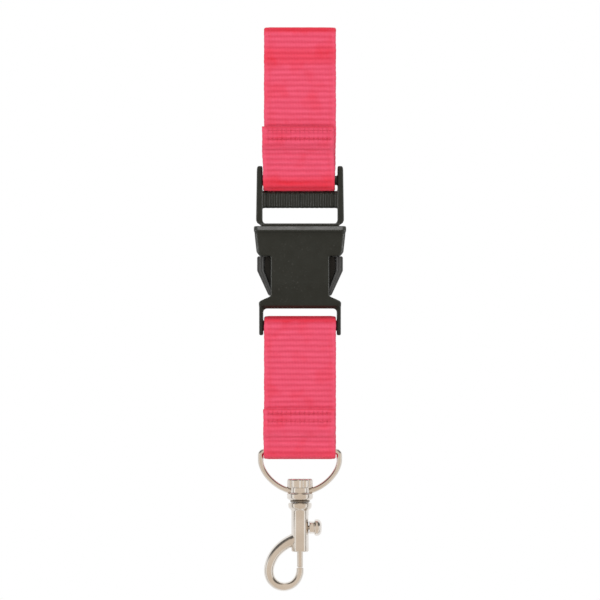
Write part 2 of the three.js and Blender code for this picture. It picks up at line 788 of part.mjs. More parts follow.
function hookBody() {
  const foot = -BARREL_LENGTH;
  const barrel = turned([
    [0, foot],
    [BARREL_RADIUS - 0.3, foot],
    [BARREL_RADIUS, foot + 0.3],
    [BARREL_RADIUS, -COLLAR_HEIGHT - COLLAR_FLARE],
    [COLLAR_RADIUS - 0.5, -COLLAR_HEIGHT - 0.3],
    [COLLAR_RADIUS - 0.15, -COLLAR_HEIGHT + 0.3],
    [COLLAR_RADIUS, -0.5],
    [COLLAR_RADIUS - 0.2, 0],
    [0, 0],
  ]);
  const bore = turned(
    [
      [0, foot - 1],
      [BORE_RADIUS, foot - 1],
      [BORE_RADIUS, BORE_TOP],
      [STUD_RADIUS + STUD_HOLE_CLEAR, BORE_TOP],
      [STUD_RADIUS + STUD_HOLE_CLEAR, 1],
      [0, 1],
    ],
    32,
  );
  const slotHalf = PIN_RADIUS + SLOT_CLEAR;
  const reach = BARREL_RADIUS + 1;
  const slotLow = rodX(slotHalf, 0, reach, PIN_Z, 16);
  const slotHigh = rodX(slotHalf, 0, reach, PIN_Z + BOLT_TRAVEL, 16);
  const slotMiddle = solid(
    new THREE.BoxGeometry(reach, 2 * slotHalf, BOLT_TRAVEL).translate(
      reach / 2,
      0,
      PIN_Z + BOLT_TRAVEL / 2,
    ),
  );
  const slot = slotLow.add(slotMiddle).add(slotHigh);
  return barrel.add(hookArm()).subtract(bore).subtract(slot);
}

function bolt() {
  const radius = BORE_RADIUS - RUN_CLEAR;
  const step = -BARREL_LENGTH + BOLT_STEP_UP;
  const body = turned(
    [
      [0, BOLT_TIP],
      [BOLT_ROD_RADIUS - 0.25, BOLT_TIP],
      [BOLT_ROD_RADIUS, BOLT_TIP + 0.25],
      [BOLT_ROD_RADIUS, step - 0.4],
      [radius, step],
      [radius, -BOLT_HEAD_DROP],
      [0, -BOLT_HEAD_DROP],
    ],
    24,
  );
  return body.subtract(rodX(PIN_RADIUS + PIN_FIT, -0.9, radius + 1, PIN_Z, 16));
}

// A compression spring between the stud's head and the bolt.
class Coil extends THREE.Curve {
  constructor(radius, low, high, turns) {
    super();
    this.radius = radius;
    this.low = low;
    this.high = high;
    this.turns = turns;
  }

  getPoint(share, target = new THREE.Vector3()) {
    const angle = 2 * Math.PI * this.turns * share;
    return target.set(
      this.radius * Math.cos(angle),
      this.radius * Math.sin(angle),
      this.low + (this.high - this.low) * share,
    );
  }
}

function boltSpring() {
  const radius = BORE_RADIUS - RUN_CLEAR - SPRING_WIRE / 2;
  const inset = SPRING_END_CLEAR + SPRING_WIRE / 2;
  const low = -BOLT_HEAD_DROP + inset;
  const high = STUD_HEAD_BOTTOM - inset;
  return wire(new Coil(radius, low, high, SPRING_TURNS), SPRING_WIRE / 2, 72, 4);
}

function thumbKnob() {
  const inner = -0.9 + PIN_FIT;
  const neck = BARREL_RADIUS + KNOB_GAP;
  const head = neck + KNOB_NECK_LENGTH;
  const end = head + KNOB_LENGTH;
  const made = turned(
    [
      [0, inner],
      [PIN_RADIUS, inner],
      [PIN_RADIUS, neck],
      [KNOB_NECK_RADIUS, neck],
      [KNOB_NECK_RADIUS, head],
      [KNOB_RADIUS - 0.2, head],
      [KNOB_RADIUS, head + 0.25],
      [KNOB_RADIUS, head + 0.5 * KNOB_LENGTH],
      [KNOB_RADIUS * 0.85, end - 0.45],
      [KNOB_RADIUS * 0.5, end - 0.1],
      [0, end],
    ],
    24,
  );
  return made.rotate([0, 90, 0]).translate([0, 0, PIN_Z]);
}

// ---- Assembly ---------------------------------------------------------------------------

const webbingMaterial = new THREE.MeshStandardMaterial({ color: 0xe8506a, roughness: 0.8 });
const threadMaterial = new THREE.MeshStandardMaterial({ color: 0xe0405a, roughness: 0.7 });
const plasticMaterial = new THREE.MeshStandardMaterial({ color: 0x2f2f2b, roughness: 0.45 });
const metalMaterial = new THREE.MeshStandardMaterial({
  color: 0xc9c4bb,
  metalness: 1,
  roughness: 0.2,
});

function groupAt(name, z, meshes) {
  const made = new THREE.Group();
  made.name = name;
  made.position.set(0, 0, z);
  made.add(...meshes);
  return made;
}

const [loopRowA, loopRowB] = seamRows(LOOP);
const [bandRowA, bandRowB] = seamRows(BAND);

const group = new THREE.Group();
group.name = "lanyard";
group.add(
  groupAt("upper_loop", 0, [
    part("upper_strap", webbing(LOOP), webbingMaterial),
    part("upper_stitch_row_a", stitchRow(LOOP, loopRowA), threadMaterial),
    part("upper_stitch_row_b", stitchRow(LOOP, loopRowB), threadMaterial),
  ]),
  groupAt("male_half", MALE_Z, [
    part("male_frame", maleFrame(), plasticMaterial),
    part("latch_right", latch(1), plasticMaterial),
    part("latch_left", latch(-1), plasticMaterial),
  ]),
  groupAt("female_half", FEMALE_Z, [
    part("female_housing", femaleHousing(), plasticMaterial),
  ]),
  groupAt("lower_band", 0, [
    part("lower_strap", webbing(BAND), webbingMaterial),
    part("lower_stitch_row_a", stitchRow(BAND, bandRowA), threadMaterial),
    part("lower_stitch_row_b", stitchRow(BAND, bandRowB), threadMaterial),
  ]),
  groupAt("ring", RING_Z, [
    part("d_ring", wire(ringPath(), RING_WIRE / 2, 72, 6), metalMaterial),
  ]),
  groupAt("swivel", EYE_Z, [part("swivel_eye", swivelEye(), metalMaterial)]),
  groupAt("hook", HOOK_Z, [
    part("hook_body", hookBody(), metalMaterial),
    part("bolt", bolt(), metalMaterial),
    part("bolt_spring", boltSpring(), metalMaterial),
    part("thumb_knob", thumbKnob(), metalMaterial),
  ]),
);

export default group;
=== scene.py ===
# %% [markdown]
# # A short key lanyard
# Two bands of coral webbing, a charcoal side-release buckle, a wire D-ring and a nickel snap
# hook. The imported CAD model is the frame: it fixes every place and every size. This script
# builds the looks round it, one piece at a time, and lets each piece ride on its CAD body.

import bmesh
import bpy
import numpy as np
from mathutils import Matrix, Vector


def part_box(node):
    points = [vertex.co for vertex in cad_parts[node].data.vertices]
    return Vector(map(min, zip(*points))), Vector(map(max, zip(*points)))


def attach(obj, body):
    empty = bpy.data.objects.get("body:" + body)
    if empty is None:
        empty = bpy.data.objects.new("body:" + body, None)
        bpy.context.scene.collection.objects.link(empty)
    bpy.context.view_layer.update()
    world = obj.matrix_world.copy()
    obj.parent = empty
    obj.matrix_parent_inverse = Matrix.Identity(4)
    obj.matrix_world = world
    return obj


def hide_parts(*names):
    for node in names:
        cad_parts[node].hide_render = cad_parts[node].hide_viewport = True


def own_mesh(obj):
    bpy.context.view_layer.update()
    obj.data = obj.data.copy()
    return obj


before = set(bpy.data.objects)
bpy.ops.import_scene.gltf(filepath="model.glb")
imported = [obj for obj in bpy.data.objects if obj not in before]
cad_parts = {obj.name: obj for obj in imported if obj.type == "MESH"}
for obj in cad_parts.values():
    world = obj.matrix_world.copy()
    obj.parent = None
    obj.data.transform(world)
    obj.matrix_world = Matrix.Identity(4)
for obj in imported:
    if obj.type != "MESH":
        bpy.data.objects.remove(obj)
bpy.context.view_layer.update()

# %% [markdown]
# All shapes are worked out in millimetres, because the parts are small, and become metres
# only when they are written into a mesh. The levels come from the CAD nodes' own boxes, so
# each piece lands where its node is.

# %% Levels from the CAD boxes
MM = 0.001


def node_box(node):
    """Lowest and highest corner of a CAD node, in millimetres."""
    low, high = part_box(node)
    return np.array(low) / MM, np.array(high) / MM


WEB_THICK = 1.3
WEB_HALF = 10.0
BAR_RADIUS = 1.3
FOLD_RADIUS = 2.05  # middle of the webbing round a buckle bar
RING_WIRE = 0.725
RING_FOLD = 1.475  # middle of the webbing round the ring's straight side
LOOP_FOLD = 1.5  # middle of the webbing in the top fold
RAIL_ABOVE = 4.0  # how far the rails end above the upper bar's axis
EYE_ABOVE = 3.8  # how far the eye's top is above the ring's wire

upper_top = node_box("upper_strap")[1][2] - LOOP_FOLD - WEB_THICK / 2
male_z = node_box("male_frame")[1][2] - RAIL_ABOVE
female_z = node_box("female_housing")[1][2]
band_top = node_box("lower_strap")[1][2] - FOLD_RADIUS - WEB_THICK / 2
ring_z = node_box("d_ring")[1][2] - RING_WIRE
eye_z = node_box("swivel_eye")[1][2] - EYE_ABOVE
hook_z = node_box("hook_body")[1][2]
print("levels", [round(float(v), 2) for v in (upper_top, male_z, female_z, band_top, ring_z)])

# %% [markdown]
# A surface is a grid of points: rows along the piece, columns round it. Neighbouring points
# make quads. Ends are closed by shrinking one extra row onto its middle, and the doubled
# points there are merged afterwards. The signed volume of a closed shell tells whether its
# faces look outwards, so a shell that is inside out is simply turned round.

# %% Grid helpers
def grid_quads(rows, cols, close_rows, close_cols):
    """Quads (i, j) (i, j+1) (i+1, j+1) (i+1, j) over a grid, wrapped where it is closed."""
    i = np.arange(rows if close_rows else rows - 1)[:, None]
    j = np.arange(cols if close_cols else cols - 1)[None, :]
    below, beside = (i + 1) % rows, (j + 1) % cols
    corners = [i * cols + j, i * cols + beside, below * cols + beside, below * cols + j]
    return np.stack(np.broadcast_arrays(*corners), -1).reshape(-1, 4)


def outward(points, quads):
    """Signed volume = sum of a . (b x c) / 6 over the triangles; reversed if negative."""
    a, b, c, d = (points[quads[:, k]] for k in range(4))
    volume = np.einsum("ij,ij->", a, np.cross(b, c)) + np.einsum("ij,ij->", a, np.cross(c, d))
    return quads if volume > 0 else quads[:, ::-1]


def shell(grid, close_rows=False, close_cols=True):
    """A closed surface from a grid of rows: its ends shrink to the middles of its end rows."""
    if not close_rows:
        first = np.broadcast_to(grid[0].mean(0), grid[0].shape)
        last = np.broadcast_to(grid[-1].mean(0), grid[-1].shape)
        grid = np.concatenate([first[None], grid, last[None]])
    points = grid.reshape(-1, 3)
    quads = grid_quads(grid.shape[0], grid.shape[1], close_rows, close_cols)
    return points, outward(points, quads)


def mesh_from(name, shells, values=None, uv=None, scale=MM):
    """One mesh from closed shells, with point values and a UV map, and its doubles merged."""
    counts = np.cumsum([0] + [len(points) for points, _ in shells])
    points = np.concatenate([points for points, _ in shells])
    quads = np.concatenate([quads + start for (_, quads), start in zip(shells, counts)])
    mesh = bpy.data.meshes.new(name)
    mesh.from_pydata((points * scale).tolist(), [], quads.tolist())
    for key, value in (values or {}).items():
        made = mesh.attributes.new(key, "FLOAT", "POINT")
        made.data.foreach_set("value", np.asarray(value, np.float32).ravel())
    if uv is not None:
        layer = mesh.uv_layers.new(name="UVMap")
        layer.data.foreach_set("uv", uv.reshape(-1, 2)[quads.ravel()].astype(np.float32).ravel())
    work = bmesh.new()
    work.from_mesh(mesh)
    bmesh.ops.remove_doubles(work, verts=work.verts, dist=1e-5 * scale)
    work.to_mesh(mesh)
    work.free()
    return mesh


def place(name, mesh, body, nodes, material, crease=180):
    """Shows the mesh as a piece: smooth but for edges sharper than crease, riding on a body."""
    mesh.shade_smooth()
    if crease < 180:
        mesh.set_sharp_from_angle(angle=np.radians(crease))
    mesh.materials.clear()
    mesh.materials.append(material)
    made = bpy.data.objects.new(name, mesh)
    bpy.context.scene.collection.objects.link(made)
    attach(made, body)
    if nodes:
        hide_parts(*nodes)
    mesh.calc_loop_triangles()
    print(name, len(mesh.loop_triangles), "triangles on", body)
    return made


# %% [markdown]
# Three families of shape cover nearly everything here. A moulded block is a stack of
# rounded rectangles. A turned part is a profile spun round an axis. Wire is a circle carried
# along a line in a plane. Real edges are never sharp, so profiles have their corners rounded
# by a small curve.

# %% Shape helpers
CORNER_STEPS = 4
ARC_STEPS = 6


def rounded(points, radius):
    """Each corner P becomes the curve (1-t)^2 A + 2t(1-t) P + t^2 B, with A and B on its sides."""
    p = np.asarray(points, float)
    before, after = np.roll(p, 1, 0) - p, np.roll(p, -1, 0) - p
    run_a, run_b = np.linalg.norm(before, axis=1), np.linalg.norm(after, axis=1)
    back_off = np.minimum(radius, 0.45 * np.minimum(run_a, run_b))[:, None]
    a, b = p + before / run_a[:, None] * back_off, p + after / run_b[:, None] * back_off
    t = np.linspace(0, 1, CORNER_STEPS + 1)[None, :, None]
    curve = (1 - t) ** 2 * a[:, None] + 2 * t * (1 - t) * p[:, None] + t**2 * b[:, None]
    return np.concatenate([p[:1], curve[1:-1].reshape(-1, 2), p[-1:]])


def stacked(z, half_x, half_y, radius, x=0.0, y=0.0):
    """Rounded rectangles at heights z: corner middle + radius (cos a, sin a), four times."""
    z, half_x, half_y, radius, x, y = (
        np.asarray(v, float)[:, None] for v in np.broadcast_arrays(z, half_x, half_y, radius, x, y)
    )
    radius = np.minimum(radius, 0.98 * np.minimum(half_x, half_y))
    corner = np.repeat(np.arange(4), ARC_STEPS + 1)
    angle = np.pi / 2 * (corner + np.tile(np.linspace(0, 1, ARC_STEPS + 1), 4))
    side_x, side_y = np.array([1, -1, -1, 1])[corner], np.array([1, 1, -1, -1])[corner]
    across = x + side_x * (half_x - radius) + radius * np.cos(angle)
    deep = y + side_y * (half_y - radius) + radius * np.sin(angle)
    return np.stack([across, deep, np.broadcast_to(z, across.shape)], -1)


def block(low, high, half_x, half_y, radius, x=0.0, y=0.0, ends=0.3):
    """A rounded bar between two heights whose ends draw in by ends (1 - cos a) as they close."""
    turn = np.linspace(0, np.pi / 2, 5)
    draw = ends * (1 - np.sin(turn))
    z = np.concatenate([low + ends * (1 - np.cos(turn)), high - ends * (1 - np.cos(turn))[::-1]])
    inset = np.concatenate([draw, draw[::-1]])
    return shell(stacked(z, half_x - inset, half_y - inset, np.maximum(radius - inset, 0.05), x, y))


def lying(shape, z):
    """A shell stacked along its z, turned so that it lies along x at a height z."""
    points, quads = shape
    turned_points = np.stack([points[:, 2], points[:, 1], points[:, 0] + z], -1)
    return turned_points, outward(turned_points, quads)


def turned(profile, segments=96, z=0.0):
    """A profile (radius r, height h) spun round z: (r cos a, r sin a, h)."""
    profile = np.asarray(profile, float)
    angle = np.linspace(0, 2 * np.pi, segments, endpoint=False)
    radius, height = profile[:, :1], profile[:, 1:]
    grid = np.stack(
        [radius * np.cos(angle), radius * np.sin(angle), height + z + 0 * angle], -1
    )
    return shell(grid)


def lying_profile(profile, z):
    """A turned piece whose axis lies along x at a height z."""
    return lying(turned(profile, 64), z)


def wire(line, radius, segments=28):
    """A circle carried along a line in the xz plane: P + r (cos a N + sin a Y)."""
    line = np.asarray(line, float)
    along = np.gradient(line, axis=0)
    along /= np.linalg.norm(along, axis=1)[:, None]
    across = np.stack([-along[:, 2], 0 * along[:, 0], along[:, 0]], -1)[:, None]
    angle = np.linspace(0, 2 * np.pi, segments, endpoint=False)[None, :, None]
    radius = np.broadcast_to(radius, len(line))[:, None, None]
    return line[:, None] + radius * (np.cos(angle) * across + np.sin(angle) * np.array([0, 1, 0]))


def fused(name, shells, voxel, rounds):
    """One skin over overlapping shells: cut into small cubes, then each point eased towards
    the middle of its neighbours a few times, which leaves the small fillets of a moulding."""
    rough = bpy.data.objects.new(name, mesh_from(name, shells, scale=1.0))
    bpy.context.scene.collection.objects.link(rough)
    remesh = rough.modifiers.new("skin", "REMESH")
    remesh.mode, remesh.voxel_size = "VOXEL", voxel
    smooth = rough.modifiers.new("ease", "SMOOTH")
    smooth.factor, smooth.iterations = 0.5, rounds
    return finished(rough, name)


def finished(rough, name):
    """The object's mesh with its modifiers applied and its size brought to metres."""
    held = rough.evaluated_get(bpy.context.evaluated_depsgraph_get())
    mesh = bpy.data.meshes.new_from_object(held)
    mesh.name = name
    mesh.transform(Matrix.Scale(MM, 4))
    bpy.data.objects.remove(rough)
    return mesh


def cut(name, steps):
    """A mesh from shells joined or cut one after another: steps are (shell, how) in order."""
    parts = []
    for number, (shape, how) in enumerate(steps):
        part = bpy.data.objects.new(f"{name}_{number}", mesh_from(name, [shape], scale=1.0))
        bpy.context.scene.collection.objects.link(part)
        parts.append(part)
        if number:
            change = parts[0].modifiers.new(how, "BOOLEAN")
            change.operation, change.solver, change.object = how, "EXACT", part
    mesh = finished(parts[0], name)
    for part in parts[1:]:
        bpy.data.objects.remove(part)
    return mesh


print("helpers ready")

# %% [markdown]
# Materials are made of nodes. A small function adds a node, sets its values and links its
# inputs, which keeps each recipe readable. Two effects serve several materials, so they are
# node groups: a fine grain that every surface has at its own scale, and the light scuffs and
# dust that handling leaves.

# %% Node helpers and the shared effects
def add(tree, kind, inputs=None, **settings):
    """A new node with its settings, and its inputs set to values or linked to sockets."""
    made = tree.nodes.new(kind)
    for key, value in settings.items():
        setattr(made, key, value)
    for key, value in (inputs or {}).items():
        if isinstance(value, bpy.types.NodeSocket):
            tree.links.new(value, made.inputs[key])
        else:
            made.inputs[key].default_value = value
    return made


def mix(tree, share, a, b, how="MIX"):
    """Colour a turned into colour b by a share."""
    return add(
        tree, "ShaderNodeMix", {0: share, 6: a, 7: b}, data_type="RGBA", blend_type=how
    ).outputs[2]


def math(tree, how, a, b=0.0, clamp=False):
    """One operation on a and b, such as MULTIPLY or SINE."""
    return add(tree, "ShaderNodeMath", {0: a, 1: b}, operation=how, use_clamp=clamp).outputs[0]


def spread(tree, value, low, high, to_low, to_high):
    """A value from low to high, carried onto to_low to to_high."""
    numbers = {0: value, 1: low, 2: high, 3: to_low, 4: to_high}
    return add(tree, "ShaderNodeMapRange", numbers).outputs[0]


def effect(name, inputs, outputs):
    """An empty node group with named sockets, and its input and output nodes."""
    tree = bpy.data.node_groups.new(name, "ShaderNodeTree")
    for label, kind, value in inputs:
        socket = tree.interface.new_socket(label, in_out="INPUT", socket_type=kind)
        if value is not None:
            socket.default_value = value
    for label, kind in outputs:
        tree.interface.new_socket(label, in_out="OUTPUT", socket_type=kind)
    return tree, tree.nodes.new("NodeGroupInput"), tree.nodes.new("NodeGroupOutput")


FLOAT, VECTOR = "NodeSocketFloat", "NodeSocketVector"

grain, given, put = effect(
    "Fine grain",
    [("Vector", VECTOR, None), ("Size", FLOAT, 1000.0), ("Stretch", VECTOR, (1, 1, 1))],
    [("Height", FLOAT), ("Cloud", FLOAT)],
)
stretched = add(
    grain,
    "ShaderNodeVectorMath",
    {0: given.outputs["Vector"], 1: given.outputs["Stretch"]},
    operation="MULTIPLY",
).outputs[0]
fine = add(
    grain,
    "ShaderNodeTexNoise",
    {"Vector": stretched, "Scale": given.outputs["Size"], "Detail": 3.0, "Roughness": 0.6},
)
broad_size = math(grain, "MULTIPLY", given.outputs["Size"], 0.08)
broad = add(grain, "ShaderNodeTexNoise", {"Vector": stretched, "Scale": broad_size, "Detail": 2.0})
grain.links.new(fine.outputs["Fac"], put.inputs["Height"])
grain.links.new(broad.outputs["Fac"], put.inputs["Cloud"])

scuffs, given, put = effect(
    "Handling marks",
    [("Vector", VECTOR, None), ("Amount", FLOAT, 0.5)],
    [("Scratch", FLOAT), ("Dust", FLOAT)],
)
bent = add(
    scuffs,
    "ShaderNodeMapping",
    {"Vector": given.outputs["Vector"], "Rotation": (0.3, 0.9, 0.4), "Scale": (1, 0.05, 1)},
).outputs[0]
scratches = add(scuffs, "ShaderNodeTexNoise", {"Vector": bent, "Scale": 1800.0, "Detail": 2.0})
where = add(
    scuffs, "ShaderNodeTexNoise", {"Vector": given.outputs["Vector"], "Scale": 120.0, "Detail": 2.0}
)
thin = spread(scuffs, scratches.outputs["Fac"], 0.62, 0.72, 0.0, 1.0)
patch = spread(scuffs, where.outputs["Fac"], 0.48, 0.7, 0.0, 1.0)
scratch = math(scuffs, "MULTIPLY", math(scuffs, "MULTIPLY", thin, patch), given.outputs["Amount"])
dust = math(scuffs, "MULTIPLY", patch, given.outputs["Amount"])
scuffs.links.new(scratch, put.inputs["Scratch"])
scuffs.links.new(dust, put.inputs["Dust"])


def use(tree, group, inputs):
    """A shared effect placed in a material with its own values."""
    return add(tree, "ShaderNodeGroup", inputs, node_tree=group)


def own_place(tree):
    """The point's own place in the piece, in metres."""
    return add(tree, "ShaderNodeTexCoord").outputs["Object"]


def point_value(tree, name):
    """A value kept on the mesh's points under a name."""
    return add(tree, "ShaderNodeAttribute", attribute_name=name).outputs["Fac"]


def new_material(name, **constants):
    """A material with one Principled BSDF whose constant values are set on its own sockets."""
    made = bpy.data.materials.new(name)
    made.use_nodes = True
    tree = made.node_tree
    shader = tree.nodes["Principled BSDF"]
    for key, value in constants.items():
        shader.inputs[key.replace("_", " ")].default_value = value
    return made, tree, shader


def finish_with(tree, shader, colour, roughness, height, distance, strength=1.0):
    """Links colour and roughness, and a Bump node of the height, in metres."""
    bump = add(tree, "ShaderNodeBump", {"Height": height, "Distance": distance})
    bump.inputs["Strength"].default_value = strength
    tree.links.new(colour, shader.inputs["Base Color"])
    tree.links.new(roughness, shader.inputs["Roughness"])
    tree.links.new(bump.outputs[0], shader.inputs["Normal"])


print("groups", [g.name for g in bpy.data.node_groups])

# %% [markdown]
# ## Webbing finish
# The real webbing is polyester woven in cross ribs. Bundles of warp yarn run over each rib,
# so a rib is a row of little upright floats. The ribs themselves are in the mesh, and their
# height is kept there as a point value: the grooves are deeper in colour, since light bounces
# between the dyed yarns. Folds are redder for the same reason. The yarns are less than half a
# millimetre wide, so they are a bump that follows the UV map, laid out in millimetres.

# %% Webbing and thread materials
webbing, tree, shader = new_material(
    "coral_webbing", Sheen_Weight=0.25, Sheen_Roughness=0.4, Specular_IOR_Level=0.25
)
shader.inputs["Sheen Tint"].default_value = (1.0, 0.62, 0.66, 1)
uv_map = add(tree, "ShaderNodeUVMap", uv_map="UVMap").outputs[0]
rib = point_value(tree, "rib")
fold = point_value(tree, "fold")
selvage = point_value(tree, "selvage")
across = add(tree, "ShaderNodeSeparateXYZ", {0: uv_map}).outputs
YARN_PITCH, RIB_PITCH = 0.42, 1.553
STITCHES, SEAM_REACH = 15, WEB_HALF - 1.2
STITCH_PITCH = 2 * SEAM_REACH / (STITCHES - 1)
yarn_phase = math(tree, "MULTIPLY", across[0], 2 * np.pi / YARN_PITCH)
rib_row = math(tree, "FLOOR", math(tree, "DIVIDE", across[1], RIB_PITCH))
yarn_phase = math(tree, "ADD", yarn_phase, math(tree, "MULTIPLY", rib_row, np.pi * 0.35))
yarn = spread(tree, math(tree, "SINE", yarn_phase), -1.0, 1.0, 0.0, 1.0)
fibre = use(tree, grain, {"Vector": uv_map, "Size": 3.2, "Stretch": (3.0, 0.7, 1.0)})
patchy = add(tree, "ShaderNodeTexNoise", {"Vector": uv_map, "Scale": 0.16, "Detail": 2.0})
crest, groove = (0.96, 0.110, 0.200, 1), (0.79, 0.066, 0.130, 1)
red_crest, red_groove = (0.93, 0.031, 0.060, 1), (0.75, 0.010, 0.026, 1)
in_groove = spread(tree, rib, 0.0, 1.0, 1.0, 0.0)
plain = mix(tree, in_groove, crest, groove)
deep = mix(tree, in_groove, red_crest, red_groove)
redder_patch = spread(tree, patchy.outputs["Fac"], 0.50, 0.68, 0.0, 0.40)
# The fold value mixes in the deeper red: painted shade in the folds, darker fused cut ends and a
# redder band.
red_share = math(tree, "ADD", fold, redder_patch, clamp=True)
colour = mix(tree, red_share, plain, deep)
colour = mix(tree, math(tree, "MULTIPLY", selvage, 0.25), colour, (0.84, 0.055, 0.095, 1))
stripe = add(tree, "ShaderNodeVectorMath", {0: uv_map, 1: (0.35, 2.2, 1)}, operation="MULTIPLY")
dyed = {"Vector": stripe.outputs[0], "Scale": 0.55, "Detail": 2.0}
uneven = add(tree, "ShaderNodeTexNoise", dyed)
uneven = spread(tree, uneven.outputs["Fac"], 0.35, 0.62, 0.0, 0.30)
colour = mix(tree, uneven, colour, (0.74, 0.052, 0.105, 1))
fleck = spread(tree, fibre.outputs["Height"], 0.3, 0.7, 0.0, 0.14)
colour = mix(tree, fleck, colour, (0.97, 0.20, 0.32, 1))
# Painted shade between the yarns: the gaps between them are mixed towards a deep red.
yarn_gap_shade = spread(tree, yarn, 0.0, 0.35, 0.22, 0.0)
colour = mix(tree, yarn_gap_shade, colour, (0.50, 0.018, 0.034, 1))
# Needle holes along the stitch rows: a dimple in the bump, and painted shade in the holes, mixed
# towards a dark red.
needle = math(tree, "COSINE", math(tree, "MULTIPLY", across[0], 2 * np.pi / STITCH_PITCH))
needle = math(tree, "POWER", spread(tree, needle, -1.0, 1.0, 0.0, 1.0), 5.0)
pulled = point_value(tree, "pulled")
needle = math(tree, "MULTIPLY", needle, pulled)
colour = mix(tree, math(tree, "MULTIPLY", needle, 0.42), colour, (0.42, 0.012, 0.028, 1))
relief = math(tree, "ADD", math(tree, "MULTIPLY", yarn, 0.75), fibre.outputs["Height"])
relief = math(tree, "SUBTRACT", relief, math(tree, "MULTIPLY", needle, 1.6))
worn = spread(tree, fibre.outputs["Cloud"], 0.3, 0.7, 0.62, 0.80)
finish_with(tree, shader, colour, worn, relief, 0.00006, 0.8)

thread, tree, shader = new_material("coral_thread", Sheen_Weight=0.05, Specular_IOR_Level=0.25)
uv_map = add(tree, "ShaderNodeUVMap", uv_map="UVMap").outputs[0]
twist = add(tree, "ShaderNodeSeparateXYZ", {0: uv_map}).outputs
ply = math(tree, "SINE", math(tree, "MULTIPLY", math(tree, "ADD", twist[0], twist[1]), 12.0))
ply = spread(tree, ply, -1.0, 1.0, 0.0, 1.0)
fibre = use(tree, grain, {"Vector": uv_map, "Size": 9.0, "Stretch": (1.0, 0.4, 1.0)})
# Painted shade between the plies: the twist's grooves take the darker red and its ridges the
# lighter.
colour = mix(tree, ply, (0.62, 0.035, 0.070, 1), (0.84, 0.070, 0.135, 1))
stray = math(tree, "MULTIPLY", fibre.outputs["Height"], 0.15)
colour = mix(tree, stray, colour, (0.95, 0.16, 0.26, 1))
gloss = spread(tree, fibre.outputs["Cloud"], 0.3, 0.7, 0.50, 0.65)
finish_with(tree, shader, colour, gloss, ply, 0.00004, 0.7)
print("materials", webbing.name, thread.name)

# %% [markdown]
# ## Plastic and metal finishes
# The buckle is acetal, a warm charcoal with a satin skin that takes faint scratches. The hook
# and ring are nickel over zinc and steel: bright, a little warm, with a broad unevenness left
# by polishing and small rubs from keys. Roughness varies over both, because an even gloss
# looks like a computer's.

# %% Plastic, nickel and spring materials
def moulded(name, darker, lighter, wear, shaded_web=False):
    """Satin plastic between two greys, scratched by its wear; a latch's recessed web can be painted
    near black as painted shade.
    """
    made, tree, shader = new_material(name, Specular_IOR_Level=0.3)
    spot = own_place(tree)
    skin = use(tree, grain, {"Vector": spot, "Size": 5200.0})
    marks = use(tree, scuffs, {"Vector": spot, "Amount": wear})
    colour = mix(tree, skin.outputs["Cloud"], darker, lighter)
    colour = mix(tree, marks.outputs["Scratch"], colour, (0.070, 0.069, 0.063, 1))
    rough = spread(tree, skin.outputs["Cloud"], 0.3, 0.7, 0.32, 0.42)
    rough = math(tree, "ADD", rough, math(tree, "MULTIPLY", marks.outputs["Dust"], 0.12))
    # Painted shade: the web recessed between the housing's panel and the latch head is painted near
    # black.
    if shaded_web:
        parts = add(tree, "ShaderNodeSeparateXYZ", {0: spot}).outputs
        near_x = spread(tree, math(tree, "ABSOLUTE", parts[0]), 0.0098, 0.0100, 1.0, 0.0)
        near_y = spread(tree, math(tree, "ABSOLUTE", parts[1]), 0.0014, 0.0017, 1.0, 0.0)
        inside = math(tree, "MULTIPLY", near_x, near_y)
        colour = mix(tree, inside, colour, (0.006, 0.006, 0.006, 1))
    dents = math(tree, "MULTIPLY", marks.outputs["Scratch"], 0.8)
    level = math(tree, "SUBTRACT", skin.outputs["Height"], dents)
    finish_with(tree, shader, colour, rough, level, 0.00002, 0.5)
    return made


charcoal_dark, charcoal_light = (0.0095, 0.0108, 0.0082, 1), (0.0155, 0.0168, 0.0130, 1)
# The latch heads are the same charcoal painted several times lighter, as painted light on their
# faces, with twice its real scratches.
lit_latch_dark, lit_latch_light = (0.044, 0.044, 0.044, 1), (0.058, 0.058, 0.057, 1)
charcoal = moulded("charcoal_plastic", charcoal_dark, charcoal_light, 0.45)
lit_worn_plastic = moulded("lit_and_worn_plastic", lit_latch_dark, lit_latch_light, 0.9, shaded_web=True)

nickel, tree, shader = new_material("bright_nickel", Metallic=1.0)
spot = own_place(tree)
polish = use(tree, grain, {"Vector": spot, "Size": 2600.0, "Stretch": (1.0, 1.0, 0.25)})
marks = use(tree, scuffs, {"Vector": spot, "Amount": 0.8})
colour = mix(tree, polish.outputs["Cloud"], (0.82, 0.785, 0.745, 1), (0.88, 0.85, 0.815, 1))
colour = mix(tree, marks.outputs["Dust"], colour, (0.76, 0.71, 0.65, 1))
rough = spread(tree, polish.outputs["Cloud"], 0.3, 0.7, 0.11, 0.18)
rough = math(tree, "ADD", rough, math(tree, "MULTIPLY", marks.outputs["Scratch"], 0.18))
level = math(tree, "SUBTRACT", polish.outputs["Height"], marks.outputs["Scratch"])
finish_with(tree, shader, colour, rough, level, 0.000008, 0.35)


def bare_metal(name, size, stretch, darker, lighter, gloss, strength):
    """Metal duller than the nickel: colour follows the broad cloud of the grain, roughness its
    height; its dark copy under the swivel's flange is painted shade.
    """
    made, tree, shader = new_material(name, Metallic=1.0)
    metal_grain = use(tree, grain, {"Vector": own_place(tree), "Size": size, "Stretch": stretch})
    colour = mix(tree, metal_grain.outputs["Cloud"], darker, lighter)
    rough = spread(tree, metal_grain.outputs["Height"], 0.3, 0.7, *gloss)
    finish_with(tree, shader, colour, rough, metal_grain.outputs["Height"], 0.00001, strength)
    return made


